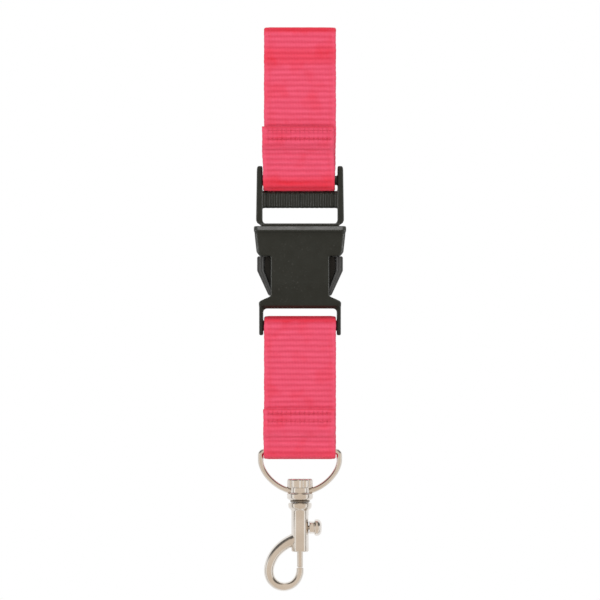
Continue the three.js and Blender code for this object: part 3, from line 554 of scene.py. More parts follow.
# Painted shade: a dark metal for the gap between the swivel's flange and the hook's collar.
gap_shade_dark, gap_shade_light = (0.24, 0.215, 0.19, 1), (0.42, 0.385, 0.345, 1)
steel_dark, steel_light = (0.46, 0.46, 0.45, 1), (0.60, 0.60, 0.58, 1)
gap_shade_metal = bare_metal("gap_shade_nickel", 3000.0, (1, 1, 1), gap_shade_dark, gap_shade_light, (0.30, 0.45), 0.4)
steel = bare_metal(
    "drawn_spring_steel", 4000.0, (1, 1, 3), steel_dark, steel_light, (0.22, 0.36), 0.5
)
print("materials", charcoal.name, nickel.name, steel.name)

# %% [markdown]
# ## Webbing bands
# Each band is one length of webbing. It starts at a cut end on the front, runs down round a
# bar, up the back, over the top and down the front again, and tucks under its own start,
# where two rows of stitches hold the lap. Flat webbing keeps its section everywhere, so it
# needs no cloth simulation: the section is carried along that line. The half spread of the
# two layers eases from one fold's radius to the other's, with a bow between them.

# %% The line a band follows
LAP_REST = WEB_THICK + 0.06  # how far the upper layer of a lap stands off the lower
LAP_EASE = 2.4
NO_RED_BAND = 99.0  # a height that no webbing reaches


def smoothstep(t):
    """t^2 (3 - 2t) between 0 and 1."""
    t = np.clip(t, 0, 1)
    return t * t * (3 - 2 * t)


def half_spread(z, band):
    """top + (bottom - top) s^2 (3 - 2s) + bow sin^2(pi s), with s the share of the way down."""
    s = (band["top"] - z) / (band["top"] - band["bottom"])
    eased = band["top_radius"] + (band["bottom_radius"] - band["top_radius"]) * smoothstep(s)
    return eased + band["bow"] * np.sin(np.pi * np.clip(s, 0, 1)) ** 2


def band_line(band):
    """The middle line in (y, z), and the run length along it."""
    seam, lap_end = band["seam"], band["seam"] - band["lap"]
    down = np.linspace(seam, band["bottom"], 300)
    lift = LAP_REST * (1 - smoothstep((lap_end - down) / LAP_EASE))
    outer = np.stack([-half_spread(down, band) - lift, down], -1)
    turn = np.linspace(np.pi, 2 * np.pi, 80)[1:-1]
    foot = np.stack([np.cos(turn), np.sin(turn)], -1) * band["bottom_radius"]
    foot[:, 1] = foot[:, 1] * (1 + band["slack"] / band["bottom_radius"]) + band["bottom"]
    up = np.linspace(band["bottom"], band["top"], 400)
    back = np.stack([half_spread(up, band), up], -1)
    head = np.stack([np.cos(turn - np.pi), np.sin(turn - np.pi)], -1) * band["top_radius"]
    head[:, 1] += band["top"]
    inner_z = np.linspace(band["top"], lap_end, 300)
    inner = np.stack([-half_spread(inner_z, band), inner_z], -1)
    line = np.concatenate([outer, foot, back, head, inner])
    run = np.concatenate([[0], np.cumsum(np.linalg.norm(np.diff(line, axis=0), axis=1))])
    return line, run


# Heights and radii of the two folds, the bow between them, where the cut end and the lap lie,
# how softly each fold's painted shade fades, and where the ribs start and how far apart they are.
upper_band = dict(
    top=upper_top, top_radius=LOOP_FOLD, bottom=male_z, bottom_radius=FOLD_RADIUS,
    bow=2.2, seam=upper_top - 25.65, lap=4.5, top_soft=0.5, bottom_soft=1.6, slack=0.42,
    foot_red=1.0, red_band=upper_top - 6.1, phase=0.35, pitch=RIB_PITCH,
)
lower_band = dict(
    top=band_top, top_radius=FOLD_RADIUS, bottom=ring_z, bottom_radius=RING_FOLD,
    bow=-0.9, seam=band_top - 23.2, lap=6.0, top_soft=0.5, bottom_soft=1.5, slack=0.0,
    foot_red=0.5, red_band=NO_RED_BAND, phase=-0.15, pitch=1.0066 * RIB_PITCH,
)
for band in (upper_band, lower_band):
    band["rows"] = [band["seam"] - 1.1, band["seam"] - 3.4]
    band["line"], band["run"] = band_line(band)
    print("band length", round(float(band["run"][-1]), 1), "mm")

# %% [markdown]
# The section is a flat oval, 20 by 1.3 mm. A rib is a swelling between two grooves, and a
# groove is a narrow raised cosine of the distance along the band. Along both edges the weft
# turns back, so the ribs fade into a firmer selvage whose outline ripples once a rib. Stitches
# pull the layers together, which leaves a shallow trough along each row.

# %% Webbing mesh
FACE_COLUMNS, EDGE_COLUMNS = 46, 8
GROOVE_DEPTH = 0.15
STATIONS_PER_RIB = 12
SELVAGE_FROM = 9.2
EDGE_ROUND = 0.55  # how far the rounded edge stands out past the flat faces


def section_places():
    """Round the section: share across from -1 to 1, the edge's bulge sin a, and side cos a."""
    face = np.sin(np.linspace(-0.5, 0.5, FACE_COLUMNS) * np.pi * 0.86) / np.sin(0.43 * np.pi)
    turn = np.linspace(0, np.pi, EDGE_COLUMNS + 2)[1:-1]
    across = np.concatenate([face, 1 + 0 * turn, -face, -1 + 0 * turn])
    bulge = np.concatenate([0 * face, np.sin(turn), 0 * face, -np.sin(turn)])
    side = np.concatenate([1 + 0 * face, np.cos(turn), -1 + 0 * face, -np.cos(turn)])
    return across, bulge, side


def webbing_mesh(name, band, shift):
    """Point = line(s) + x X + side h(s, x) N: h is half the thickness less the grooves."""
    line, run = band["line"], band["run"]
    length = run[-1]
    count = int(length / RIB_PITCH * STATIONS_PER_RIB)
    s = np.linspace(0, length, count)
    y, z = (np.interp(s, run, line[:, k]) for k in (0, 1))
    along = np.gradient(np.stack([y, z], -1), s, axis=0)
    along /= np.linalg.norm(along, axis=1)[:, None]
    out = np.stack([along[:, 1], -along[:, 0]], -1)
    across, bulge, side = section_places()
    wander = 0.10 * np.sin(s[:, None] / 3.1 + 0.21 * across * 9)
    wander = wander + 0.05 * np.sin(across * 17 + s[:, None])
    phase = 2 * np.pi * (s[:, None] + 0.5 * wander - band["phase"]) / band["pitch"]
    groove = (0.5 + 0.5 * np.cos(phase)) ** 1.6
    fade = smoothstep((np.abs(across) * WEB_HALF - SELVAGE_FROM) / 0.7)
    deep = GROOVE_DEPTH * (1 + 0.16 * np.sin(s[:, None] * 0.9 + across * 4))
    half = WEB_THICK / 2 - deep * groove * (1 - 0.72 * fade)
    down = s[:, None] - (band["seam"] - np.array(band["rows"]))
    pulled = np.exp(-((down / 0.62) ** 2)).max(1)[:, None] * (side > 0) * (np.abs(across) < 0.93)
    half = half - 0.05 * pulled
    ripple = 0.055 * groove[:, :1] + 0.04 * np.sin(0.83 * s[:, None] + across)
    x = across * (WEB_HALF - EDGE_ROUND - ripple) + bulge * EDGE_ROUND
    x = x + np.interp(s, *shift)[:, None]
    # A worn edge is thinner than the middle, by a seventh over the last millimetre.
    half = half * (1 - 0.14 * smoothstep((np.abs(across) * WEB_HALF - 8.9) / 1.1))
    offset = side * half
    grid = np.stack([x, y[:, None] + offset * out[:, :1], z[:, None] + offset * out[:, 1:]], -1)
    # Painted shade: the webbing is painted redder where it turns round a bar or over the loop's
    # top. The fused cut ends are darker in their own colour.
    below_top = np.clip(band["top"] + 0.6 * band["top_radius"] - z, 0, None)
    above_foot = np.clip(z - band["bottom"] + 0.45 * band["bottom_radius"], 0, None)
    at_top = np.exp(-((below_top / band["top_soft"]) ** 2))
    at_foot = band["foot_red"] * np.exp(-((above_foot / band["bottom_soft"]) ** 2))
    cut_end = 0.6 * np.exp(-((np.minimum(s, length - s) / 0.3) ** 2))
    # A redder band across the front of the upper loop, a few millimetres below its top fold.
    red_band = 0.55 * np.exp(-(((z - band["red_band"]) / 2.4) ** 4)) * (y < 0)
    fold = np.max([at_top, at_foot, cut_end, red_band], axis=0)[:, None] + 0 * across
    rib = 1 - groove * (1 - 0.6 * fade)
    selvage = smoothstep((np.abs(across) * WEB_HALF - 8.2) / 0.5) + 0 * s[:, None]
    selvage = selvage * (1 - 0.7 * smoothstep((np.abs(across) * WEB_HALF - 8.9) / 0.5))
    uv = np.stack([x, s[:, None] + 0 * across], -1)
    return grid, dict(rib=rib, fold=fold, selvage=selvage, pulled=pulled), uv


def padded_rows(values):
    """Repeats the first and last row, for the extra rows that close the ends."""
    return np.concatenate([values[:1], values, values[-1:]])


def webbing_band(name, band, body, node, shift):
    """A band as one piece, riding on its body."""
    grid, values, uv = webbing_mesh(name, band, shift)
    values = {key: padded_rows(value) for key, value in values.items()}
    mesh = mesh_from(name, [shell(grid)], values, padded_rows(uv))
    made = place(name, mesh, body, [node], webbing)


# Sideways drift of each band along its length: run in mm, then x in mm.
upper_drift = ([0, 9, 12.5, 20, 32], [-0.55, -0.50, -0.30, -0.28, 0.0])
lower_drift = ([0, 9, 16, 20], [-0.25, -0.20, 0.0, 0.0])
webbing_band("upper_webbing", upper_band, "loop", "upper_strap", upper_drift)
webbing_band("lower_webbing", lower_band, "band", "lower_strap", lower_drift)

# %% [markdown]
# ## Seams
# A lockstitch has one thread on the front and one on the back, which meet in the needle
# holes. Seen close, each thread arches from hole to hole and dives in. That is a circle carried
# along x, whose depth drops by a sharp raised cosine at each hole. Both threads of a row ride
# on the webbing, as one piece.

# %% Stitch rows
THREAD_RADIUS = 0.17


def seam_thread(z, resting, outwards):
    """A thread along x: y = resting surface, sunk by 0.55 (cos^2)^6 at each needle hole."""
    x = np.linspace(-SEAM_REACH - 0.25, SEAM_REACH + 0.25, 420)
    at_hole = np.cos(np.pi * (x + SEAM_REACH) / STITCH_PITCH) ** 2
    at_hole[np.abs(x) > SEAM_REACH] = 1.0
    sunk = 0.55 * at_hole**6 - 0.03
    y = resting - outwards * sunk
    sag = 0.03 * np.sin(x * 1.9)
    along = np.gradient(np.stack([x, y], -1), axis=0)
    along /= np.linalg.norm(along, axis=1)[:, None]
    angle = np.linspace(0, 2 * np.pi, 11)
    normal = np.stack([-along[:, 1], along[:, 0]], -1)
    ring = THREAD_RADIUS * np.cos(angle)
    grid = np.stack(
        [
            x[:, None] + normal[:, :1] * ring,
            y[:, None] + normal[:, 1:] * ring,
            (z + sag)[:, None] + THREAD_RADIUS * np.sin(angle),
        ],
        -1,
    )
    uv = np.stack([x[:, None] + 0 * angle, 0 * x[:, None] + angle / (2 * np.pi)], -1)
    return grid, uv


def stitch_row(name, band, number, body, node):
    """The front and back thread of one row, resting on the two outer faces of the lap."""
    z = band["rows"][number]
    spread_here = float(half_spread(np.array(z), band))
    front = -(spread_here + LAP_REST + WEB_THICK / 2) + 0.02
    back = -spread_here + WEB_THICK / 2 - 0.02
    made = [seam_thread(z, front, -1), seam_thread(z, back, 1)]
    shells = [shell(grid, close_cols=False) for grid, _ in made]
    uv = np.concatenate([padded_rows(uv).reshape(-1, 2) for _, uv in made])
    place(name, mesh_from(name, shells, uv=uv), body, [node], thread)


for where, band, body in (("upper", upper_band, "loop"), ("lower", lower_band, "band")):
    for number, (order, letter) in enumerate((("first", "a"), ("second", "b"))):
        node = f"{where}_stitch_row_{letter}"
        stitch_row(f"{where}_seam_{order}_row", band, number, body, node)

# %% [markdown]
# ## Buckle, upper half
# The half that holds the upper loop is one moulding: two rails, a round bar for the webbing, a
# ribbed grip bar, a base that plugs into the other half and a guiding tongue. Each member is a
# rounded block. Fusing them into one skin and easing it gives the small fillets that every
# moulding has where two members meet.

# %% Frame with the ribbed bar
BASE_HALF = 10.9
WINDOW_FLOOR = -12.0
RIBS = 16
BAR_REACH = 10.8  # half length of the two bars, into the rails
PLUG_FOOT, TONGUE_TIP = -15.2, -29.0
GRIP_BAR_Z, GRIP_LIP_Z = -5.415, -3.40


def corner_fillet(x, z, radius, half_deep, side):
    """The web in a lower corner: between the two walls and a quarter circle of a radius."""
    angle = np.linspace(0, np.pi / 2, 9)
    curve = np.stack([radius * (1 - np.cos(angle)), radius * (1 - np.sin(angle))], -1)
    outline = np.concatenate([curve, [[radius, -0.5], [-0.5, -0.5], [-0.5, radius]]])
    outline = np.stack([x - side * outline[:, 0], z + outline[:, 1]], -1)
    deep = np.linspace(-half_deep, half_deep, 3)
    rows = [np.stack([outline[:, 0], 0 * outline[:, 0] + d, outline[:, 1]], -1) for d in deep]
    grid = np.stack(rows)
    pole = np.array([x + side * 0.1, 0, z - 0.1])
    ends = [np.broadcast_to(pole + [0, d, 0], grid[0].shape) for d in (-half_deep, half_deep)]
    grid = np.concatenate([ends[0][None], grid, ends[1][None]])
    points = grid.reshape(-1, 3)
    return points, outward(points, grid_quads(grid.shape[0], grid.shape[1], False, True))


def frame_shells():
    """Rails by height, base, tongue and round bar; the grip bar's ribs are |sin| along x."""
    made = []
    for side in (1, -1):
        z = np.array([4.0, 3.9, 3.6, 3.1, 2.4, WINDOW_FLOOR + 0.9, WINDOW_FLOOR + 0.2, -12.4])
        outer = np.array([11.5, 11.7, 11.9, 11.98, 12.0, 12.2, 11.9, 10.95])
        inner = np.full(8, 10.4)
        inner[:3] += [0.25, 0.12, 0.03]
        deep = np.array([1.45, 1.6, 1.75, 1.8, 1.8, 1.85, 2.0, 2.2])
        rail = stacked(z, (outer - inner) / 2, deep, 0.4, side * (outer + inner) / 2)
        made.append(shell(rail))
        made.append(corner_fillet(side * 10.4, WINDOW_FLOOR, 1.0, 1.8, side))
    made.append(block(PLUG_FOOT, WINDOW_FLOOR + 0.05, BASE_HALF, 3.0, 0.5, ends=0.35))
    made.append(block(TONGUE_TIP, PLUG_FOOT + 0.4, 2.5, 1.3, 0.4, ends=0.5))
    made.append(lying(block(-BAR_REACH, BAR_REACH, BAR_RADIUS, BAR_RADIUS, 1.28), 0.0))
    x = np.linspace(-BAR_REACH, BAR_REACH, RIBS * 12 + 1)
    wave = np.abs(np.sin(np.pi * RIBS * (x + BAR_REACH) / (2 * BAR_REACH))) ** 0.8
    bar = stacked(x, 2.285 - 0.05 * (1 - wave), 1.02 + 0.5 * wave, 0.75)
    made.append(lying(shell(bar), GRIP_BAR_Z))
    # A low lip along the back of the grip bar closes the view between it and the webbing.
    made.append(lying(block(-BAR_REACH, BAR_REACH, 0.55, 0.35, 0.2, y=1.35), GRIP_LIP_Z))
    return [(points + [0, 0, male_z], quads) for points, quads in made]


frame_mesh = fused("buckle_frame", frame_shells(), 0.16, 5)
place("buckle_frame", frame_mesh, "male_half", ["male_frame"], charcoal)

# %% [markdown]
# ## Latches
# Each latch hangs from the base on a springy beam. Its head stands out past the housing's
# shoulder, has two fine grooves down its face where the fingers pinch, and is stiffened by a
# thin web on the inner side. Its outline in x is a function of height, so the head is a stack
# of rectangles whose sides follow that outline, and the grooves are the gaps between three fins
# laid on a slightly thinner core.

# %% Latches
HEAD_TOP = -21.08
HEAD_LONG = 10.9
HEAD_OUTER, HEAD_INNER, HEAD_TIP = 11.9, 10.0, 8.9


def latch_shells(side):
    """Fins and core between two edges x(z), read off the head's outline by height."""
    levels = HEAD_TOP - np.array([0.0, 0.3, 4.0, 10.5, HEAD_LONG])
    outer = np.array([HEAD_OUTER - 0.3, HEAD_OUTER, HEAD_OUTER, HEAD_TIP, HEAD_TIP - 0.3])
    inner = np.array([HEAD_INNER - 0.2, HEAD_INNER, HEAD_INNER, HEAD_TIP - 1.4, HEAD_TIP - 1.2])
    z = np.linspace(HEAD_TOP, HEAD_TOP - HEAD_LONG, 60)
    out, back = (np.interp(-z, -levels, edge) for edge in (outer, inner))

    def slab(near, far, deep):
        """A stack of rectangles between two edges x(z), of one depth."""
        half = np.maximum((far - near) / 2, 0.12)
        return shell(stacked(z, half, deep, 0.28, side * (far + near) / 2))

    width = out - back
    fins = [(0.0, 0.22), (0.34, 0.66), (0.78, 1.0)]
    made = [slab(back, out, 2.28)]
    made += [slab(back + width * a, back + width * b, 2.5) for a, b in fins]
    # The thin web reaches up inside the housing's band, where it has to stay narrow.
    web_z = np.linspace(HEAD_TOP + 1.6, HEAD_TOP - 10.6, 60)
    reach = np.minimum(np.interp(-web_z, -levels, outer), 9.9 + 2 * (HEAD_TOP - web_z > 0))
    grid = stacked(web_z, (reach - 7.4) / 2, 1.2, 0.3, side * (reach + 7.4) / 2)
    made.append(shell(grid))
    made.append(block(HEAD_TOP - 0.1, -15.5, 0.75, 2.5, 0.3, x=side * 9.55, ends=0.15))
    made.append(block(HEAD_TOP - 1.2, HEAD_TOP + 0.2, 0.5, 2.2, 0.3, x=side * 10.3, ends=0.1))
    return [(points + [0, 0, male_z], quads) for points, quads in made]


for side, word in ((1, "right"), (-1, "left")):
    latch_mesh = fused(f"{word}_latch_head", latch_shells(side), 0.12, 4)
    place(
        f"{word}_latch_head", latch_mesh, f"{word}_latch", [f"latch_{word}"],
        lit_worn_plastic,
    )

# %% [markdown]
# ## Buckle, lower half
# The housing is a flat tube with a lipped mouth. Below its shoulder only a front and a back
# panel go on, so that the latch heads can stand out on either side. A flared foot joins the
# panels, and two arms carry the bar for the lower band. The tube is a closed stack of rings:
# down the outside, over the bottom edge, up the inside and over the mouth.

# %% Housing
SHOULDER = -8.3
PANEL_HALF = 8.15
PANEL_FACE, PANEL_BACK = 4.2, 2.85


ARM_X, LOWER_BAR_Z = 10.775, -27.6


def housing_shells():
    """The tube's rings as (half width, half depth, height), then panels, foot, arms and bar."""
    outside = np.array([
        [12.45, 3.85, 0.0], [12.68, 3.95, -0.08], [12.8, 4.1, -0.3], [12.8, 4.76, -1.15],
        [12.78, 4.8, -1.35], [12.72, 4.7, -1.6], [12.62, 4.34, -1.8], [12.58, 4.22, -2.1],
        [12.53, 4.2, -2.9], [12.08, 4.2, -7.0], [11.95, 4.2, -7.4], [11.45, 4.2, -8.05],
        [11.2, 4.02, SHOULDER],
    ])
    inside = np.array([
        [10.9, 3.1, SHOULDER], [10.7, 2.85, -8.0], [10.7, 2.85, -3.0], [11.1, 3.2, -2.7],
        [11.1, 3.2, -0.35], [11.3, 3.4, 0.0],
    ])
    rings = np.concatenate([outside, inside])
    radius = np.concatenate([np.full(len(outside), 1.3), np.full(len(inside), 0.6)])
    tube = stacked(rings[:, 2], rings[:, 0], rings[:, 1], radius)
    made = [shell(tube, close_rows=True)]
    z = np.array([-1.6, -7.0, -16.0, -17.0, -20.6])
    face = np.array([PANEL_FACE, PANEL_FACE, PANEL_FACE, 4.09, 3.5])
    for side in (1, -1):
        middle, half = side * (face + PANEL_BACK) / 2, (face - PANEL_BACK) / 2
        made.append(shell(stacked(z, PANEL_HALF, half, 0.55, y=middle)))
    z = np.array([-19.3, -19.65, -20.2, -20.75, -21.2, -22.0, -22.45, -22.9])
    wide = np.array([8.15, 8.6, 9.9, 11.05, 11.42, 11.4, 11.35, 11.3])
    deep = np.array([3.72, 3.67, 3.58, 3.5, 3.44, 3.3, 2.6, 1.95])
    made.append(shell(stacked(z, wide, deep, 0.5)))
    for side in (1, -1):
        made.append(block(-30.3, -21.5, 0.575, 1.9, 0.35, x=side * ARM_X, ends=0.35))
        made.append(arm_fillet(side))
    made.append(lying(block(-10.6, 10.6, BAR_RADIUS, BAR_RADIUS, 1.28), LOWER_BAR_Z))
    return [(points + [0, 0, female_z], quads) for points, quads in made]


def arm_fillet(side):
    """The same web as in the window's corner, hung upside down under the foot."""
    points, quads = corner_fillet(side * 10.2, 22.9, 1.0, 1.8, side)
    points = points * [1, 1, -1]
    return points, outward(points, quads)


housing_mesh = fused("buckle_housing", housing_shells(), 0.17, 5)
place("buckle_housing", housing_mesh, "female_half", ["female_housing"], charcoal)

# %% [markdown]
# ## D-ring
# The ring is bent from wire of about 1.5 mm and butted inside the fold, so its line is open:
# half the straight side, a tight corner, a short shoulder, the bow and the same again mirrored.
# Corners and bow are cubic Bezier curves, which a bending tool's wire follows closely.

# %% D-ring
RING_HALF = WEB_HALF + 0.2 + RING_WIRE
RING_DROP = 11.3
RING_CORNER = 1.0
RING_SHOULDER = -2.3
RING_PLATING = 0.065  # how far the plated wire stands proud of the CAD's


def bezier(a, b, c, d, count):
    """(1-t)^3 a + 3t(1-t)^2 b + 3t^2(1-t) c + t^3 d, in x and z."""
    t = np.linspace(0, 1, count)[:, None]
    a, b, c, d = (np.array(p, float) for p in (a, b, c, d))
    return (1 - t) ** 3 * a + 3 * t * (1 - t) ** 2 * b + 3 * t**2 * (1 - t) * c + t**3 * d


def ring_line():
    """The right half from four curves, then its mirror image, in the xz plane."""
    half, corner = RING_HALF, RING_CORNER
    bend = 0.55 * corner
    full = RING_SHOULDER - 0.41 * (RING_DROP + RING_SHOULDER)
    start, turn = (0.04, 0), (half - corner, 0)
    pieces = [
        bezier(start, (3, 0), (6, 0), turn, 30),
        bezier(turn, (half - corner + bend, 0), (half, -corner + bend), (half, -corner), 16)[1:],
        bezier((half, -corner), (half, -1.4), (half, -1.8), (half, RING_SHOULDER), 8)[1:],
        bezier(
            (half, RING_SHOULDER), (half, full), (0.55 * half, -RING_DROP), (0, -RING_DROP), 70
        )[1:],
    ]
    right = np.concatenate(pieces)
    left = right[:-1][::-1] * [-1, 1]
    line = np.concatenate([right, left])
    return np.stack([line[:, 0], 0 * line[:, 0], line[:, 1]], -1)


ring_path = ring_line()
ring_grid = wire(ring_path + [0, 0, ring_z], RING_WIRE + RING_PLATING, 36)
place(
    "bent_wire_ring", mesh_from("bent_wire_ring", [shell(ring_grid)]), "ring", ["d_ring"],
    nickel, 50,
)

# %% [markdown]
# ## Swivel eye
# The eye is a turned drum with a waist and a flange. The ring passes through it sideways and
# may swing, so the hole is wider than the wire. For each x the wire's middle stands h above the
# axis, and swinging it by up to 63 degrees sweeps discs along an arc; seen from the axis, the
# union of those discs reaches r = h cos d + sqrt(f^2 - h^2 sin^2 d), with f the disc's radius
# and d the angle beyond the arc's end. One boolean cut then makes the hole.

# %% Swivel eye
EYE_SWING = np.radians(63)
HOLE_RADIUS = RING_WIRE + 0.2


def ring_hole():
    """The hole's reach r(x, d) round the axis, by the formula above."""
    bottom = ring_path[ring_path[:, 2] < -RING_DROP / 2]
    order = np.argsort(bottom[:, 0])
    x = np.linspace(-6.5, 6.5, 61)
    height = np.interp(x, bottom[order, 0], bottom[order, 2] + RING_DROP)[:, None]
    height = np.minimum(height, 0.9 * HOLE_RADIUS)
    angle = np.linspace(-np.pi, np.pi, 48, endpoint=False)
    beyond = np.maximum(np.abs(angle) - EYE_SWING, 0)
    reach = height * np.cos(beyond) + np.sqrt(HOLE_RADIUS**2 - (height * np.sin(beyond)) ** 2)
    grid = np.stack(
        [x[:, None] + 0 * angle, reach * np.sin(angle), eye_z + reach * np.cos(angle)], -1
    )
    return shell(grid)


eye_profile = rounded(
    [
        (0, -4.7), (1.33, -4.7), (1.33, -4.05), (1.0, -4.0), (1.0, -2.2), (2.95, -2.2),
        (3.5, -1.75), (3.6, -1.5), (3.6, -0.45), (3.4, -0.2), (2.85, -0.15), (2.85, 1.3),
        (3.4, 1.35), (3.6, 1.55), (3.6, 3.45), (3.3, 3.8), (0, 3.8),
    ],
    0.18,
)


def fluted(shape):
    """Radius less 0.22 exp(-(a - a0)^2 / w^2) at a few angles a0 of the top tier, both faces."""
    points, quads = shape
    tier = smoothstep((points[:, 2] - eye_z - 1.25) / 0.25)
    around = np.degrees(np.arctan2(points[:, 0], -points[:, 1]))
    flutes = np.array([-62, -46, 0, 18, 47, 62])
    away = (around[:, None] - flutes + 90) % 180 - 90
    sunk = 0.22 * np.exp(-((away / 3.4) ** 2)).sum(1) * tier
    radius = np.maximum(np.hypot(points[:, 0], points[:, 1]), 1e-6)
    share = 1 - sunk * (radius > 3.0) / radius
    return np.stack([points[:, 0] * share, points[:, 1] * share, points[:, 2]], -1), quads


eye_steps = [(fluted(turned(eye_profile, 180, eye_z)), ""), (ring_hole(), "DIFFERENCE")]
eye_mesh = cut("drum_eye", eye_steps)
place("drum_eye", eye_mesh, "swivel", ["swivel_eye"], nickel, 32)
# A disc under the flange fills the gap above the collar; its dark metal is painted shade of that
# gap.
shoulder = rounded([(0, -2.3), (2.75, -2.3), (2.75, -2.5), (2.55, -2.78), (0, -2.78)], 0.08)
shoulder_mesh = mesh_from("swivel_shoulder", [turned(shoulder, 96, eye_z)])
place("swivel_shoulder", shoulder_mesh, "swivel", [], gap_shade_metal, 40)

# %% [markdown]
# ## Snap hook
# The hook is one casting: a barrel with a collar, and an arm that leaves its foot and curls
# round to a tip under the bolt. The barrel is turned. The arm is a circle of changing radius
# carried along a smooth curve through a few points: a Hermite curve whose slope at each point
# comes from its two neighbours. The bore and the slot for the thumb knob are cut afterwards.

# %% Hook body
BARREL_FOOT = -13.6
BORE = 1.45
KNOB_Z = -6.9
TRAVEL = 3.0
BOLT_TIP = -17.9
ARM_STATIONS = 220
ARM_POINTS = [
    (-0.9, 3.6), (-2.9, 2.8), (-5.0, 1.45), (-6.9, -0.5), (-8.2, -2.95), (-8.65, -5.5),
    (-8.05, -7.7), (-6.5, -9.2), (-4.5, -9.75), (-2.4, -9.25), (-0.85, -7.85), (-0.1, -6.1),
    (0.0, -5.2), (0.0, -4.4),
]


def smooth_line(points, count):
    """Cubic Hermite between points, slope = (next - last) / their distance in run length."""
    p = np.asarray(points, float)
    run = np.concatenate([[0], np.cumsum(np.linalg.norm(np.diff(p, axis=0), axis=1) ** 0.75)])
    slope = np.gradient(p, run, axis=0)
    at = np.linspace(0, run[-1], count)
    i = np.clip(np.searchsorted(run, at) - 1, 0, len(p) - 2)
    gap = (run[i + 1] - run[i])[:, None]
    t = ((at - run[i]) / (run[i + 1] - run[i]))[:, None]
    return (
        (2 * t**3 - 3 * t**2 + 1) * p[i]
        + (t**3 - 2 * t**2 + t) * gap * slope[i]
        + (3 * t**2 - 2 * t**3) * p[i + 1]
        + (t**3 - t**2) * gap * slope[i + 1]
    )


def hook_arm():
    """A circle along the arm's curve, thickest at the root, with a domed tip."""
    line = smooth_line(ARM_POINTS, ARM_STATIONS)
    share = np.linspace(0, 1, ARM_STATIONS)
    radius = np.interp(share, [0, 0.06, 0.25, 0.6, 0.85, 1], [1.95, 1.68, 1.48, 1.25, 1.08, 1.0])
    radius = radius - 0.22 * np.clip((share - 0.988) / 0.012, 0, 1) ** 2
    path = np.stack([line[:, 0], 0 * share, line[:, 1] + BARREL_FOOT + hook_z], -1)
    return shell(wire(path, radius, 40))


barrel = rounded(
    [
        (0, BARREL_FOOT), (2.2, BARREL_FOOT), (2.42, BARREL_FOOT + 0.25), (2.42, -2.25),
        (2.55, -2.0), (3.0, -1.55), (3.2, -1.25), (3.25, -0.85), (3.25, -0.2), (3.05, 0), (0, 0),
    ],
    0.25,
)
bore = [(0, -16), (BORE, -16), (BORE, -1.1), (1.15, -1.1), (1.15, 1), (0, 1)]


def knob_slot():
    """A slot round the pin along its travel, cut from the bore out through the wall at +x."""
    half = 0.67
    grid = stacked(np.linspace(0, 4, 3), TRAVEL / 2 + half, half, 0.66)
    return lying(shell(grid), KNOB_Z + TRAVEL / 2 + hook_z)


def tip_notch():
    """A nick across the front of the hook's tip, where the bolt's end beds down."""
    points, quads = shell(stacked(np.linspace(0.35, 1.6, 3), 0.55, 0.24, 0.22))
    height = points[:, 1] + BOLT_TIP - 0.22 + hook_z
    points = np.stack([points[:, 0], -points[:, 2], height], -1)
    return points, outward(points, quads)


hook_mesh = cut(
    "cast_hook",
    [
        (turned(barrel, 96, hook_z), ""),
        (hook_arm(), "UNION"),
        (turned(bore, 64, hook_z), "DIFFERENCE"),
        (knob_slot(), "DIFFERENCE"),
        (tip_notch(), "DIFFERENCE"),
    ],
)
place("cast_hook", hook_mesh, "hook", ["hook_body"], nickel, 35)

# %% [markdown]
# ## Bolt, spring and thumb knob
# The bolt slides in the barrel and closes the hook's mouth. Its spring sits above it, out of
# sight, and shortens when the knob is pushed up.
# The knob is a small mushroom on a pin: the same turned profile as the rest, laid along x.

# %% Bolt, spring and knob
BOLT_TOP = -5.9
bolt_profile = rounded(
    [
        (0, BOLT_TIP), (0.7, BOLT_TIP), (0.85, BOLT_TIP + 0.15), (0.85, -13.7), (1.35, -13.3),
        (1.35, BOLT_TOP), (0, BOLT_TOP),
    ],
    0.12,
)
bolt_mesh = mesh_from("sliding_bolt", [turned(bolt_profile, 64, hook_z)])
place("sliding_bolt", bolt_mesh, "bolt_and_knob", ["bolt"], nickel, 35)

SPRING_LOW, SPRING_HIGH, SPRING_TURNS = -5.66, -2.14, 3.5
SPRING_RADIUS, SPRING_WIRE = 1.23, 0.12


def coil():
    """Helix (R cos a, R sin a, h a): a circle in the plane of the radius and the side to it."""
    angle = np.linspace(0, 2 * np.pi * SPRING_TURNS, 200)[:, None]
    z = np.linspace(SPRING_LOW, SPRING_HIGH, 200)[:, None] + hook_z
    radial = np.concatenate([np.cos(angle), np.sin(angle), 0 * angle], 1)[:, None]
    middle = SPRING_RADIUS * radial[:, 0] + np.concatenate([0 * z, 0 * z, z], 1)
    round_it = np.linspace(0, 2 * np.pi, 12, endpoint=False)[None, :, None]
    up = np.array([0, 0, 1.0])
    circle = np.cos(round_it) * radial + np.sin(round_it) * up
    return shell(middle[:, None] + SPRING_WIRE * circle)


coil_mesh = mesh_from("coil_spring", [coil()])
spring = place("coil_spring", coil_mesh, "hook", ["bolt_spring"], steel)
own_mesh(spring)

knob_profile = rounded(
    [
        (0, -0.85), (0.55, -0.85), (0.55, 2.6), (1.8, 2.6), (1.72, 3.0), (1.72, 3.95),
        (2.2, 4.1), (2.33, 4.45), (2.33, 5.0), (2.0, 5.6), (1.2, 6.0), (0, 6.07),
    ],
    0.25,
)
knob_mesh = mesh_from("thumb_mushroom", [lying_profile(knob_profile, KNOB_Z + hook_z)])
place("thumb_mushroom", knob_mesh, "bolt_and_knob", ["thumb_knob"], nickel, 35)

# %% [markdown]
# ## Studio
# The lanyard hangs over a pale floor in an even white studio. Bright metal shows only what is
# round it, so the surroundings have a warm grey behind the viewer, thin dark gaps between the
# white panels at the sides and a dark ceiling out to the side: they draw the long reflections
# on the barrel, the arm and the ring. Plain surfaces see a softer, even room.

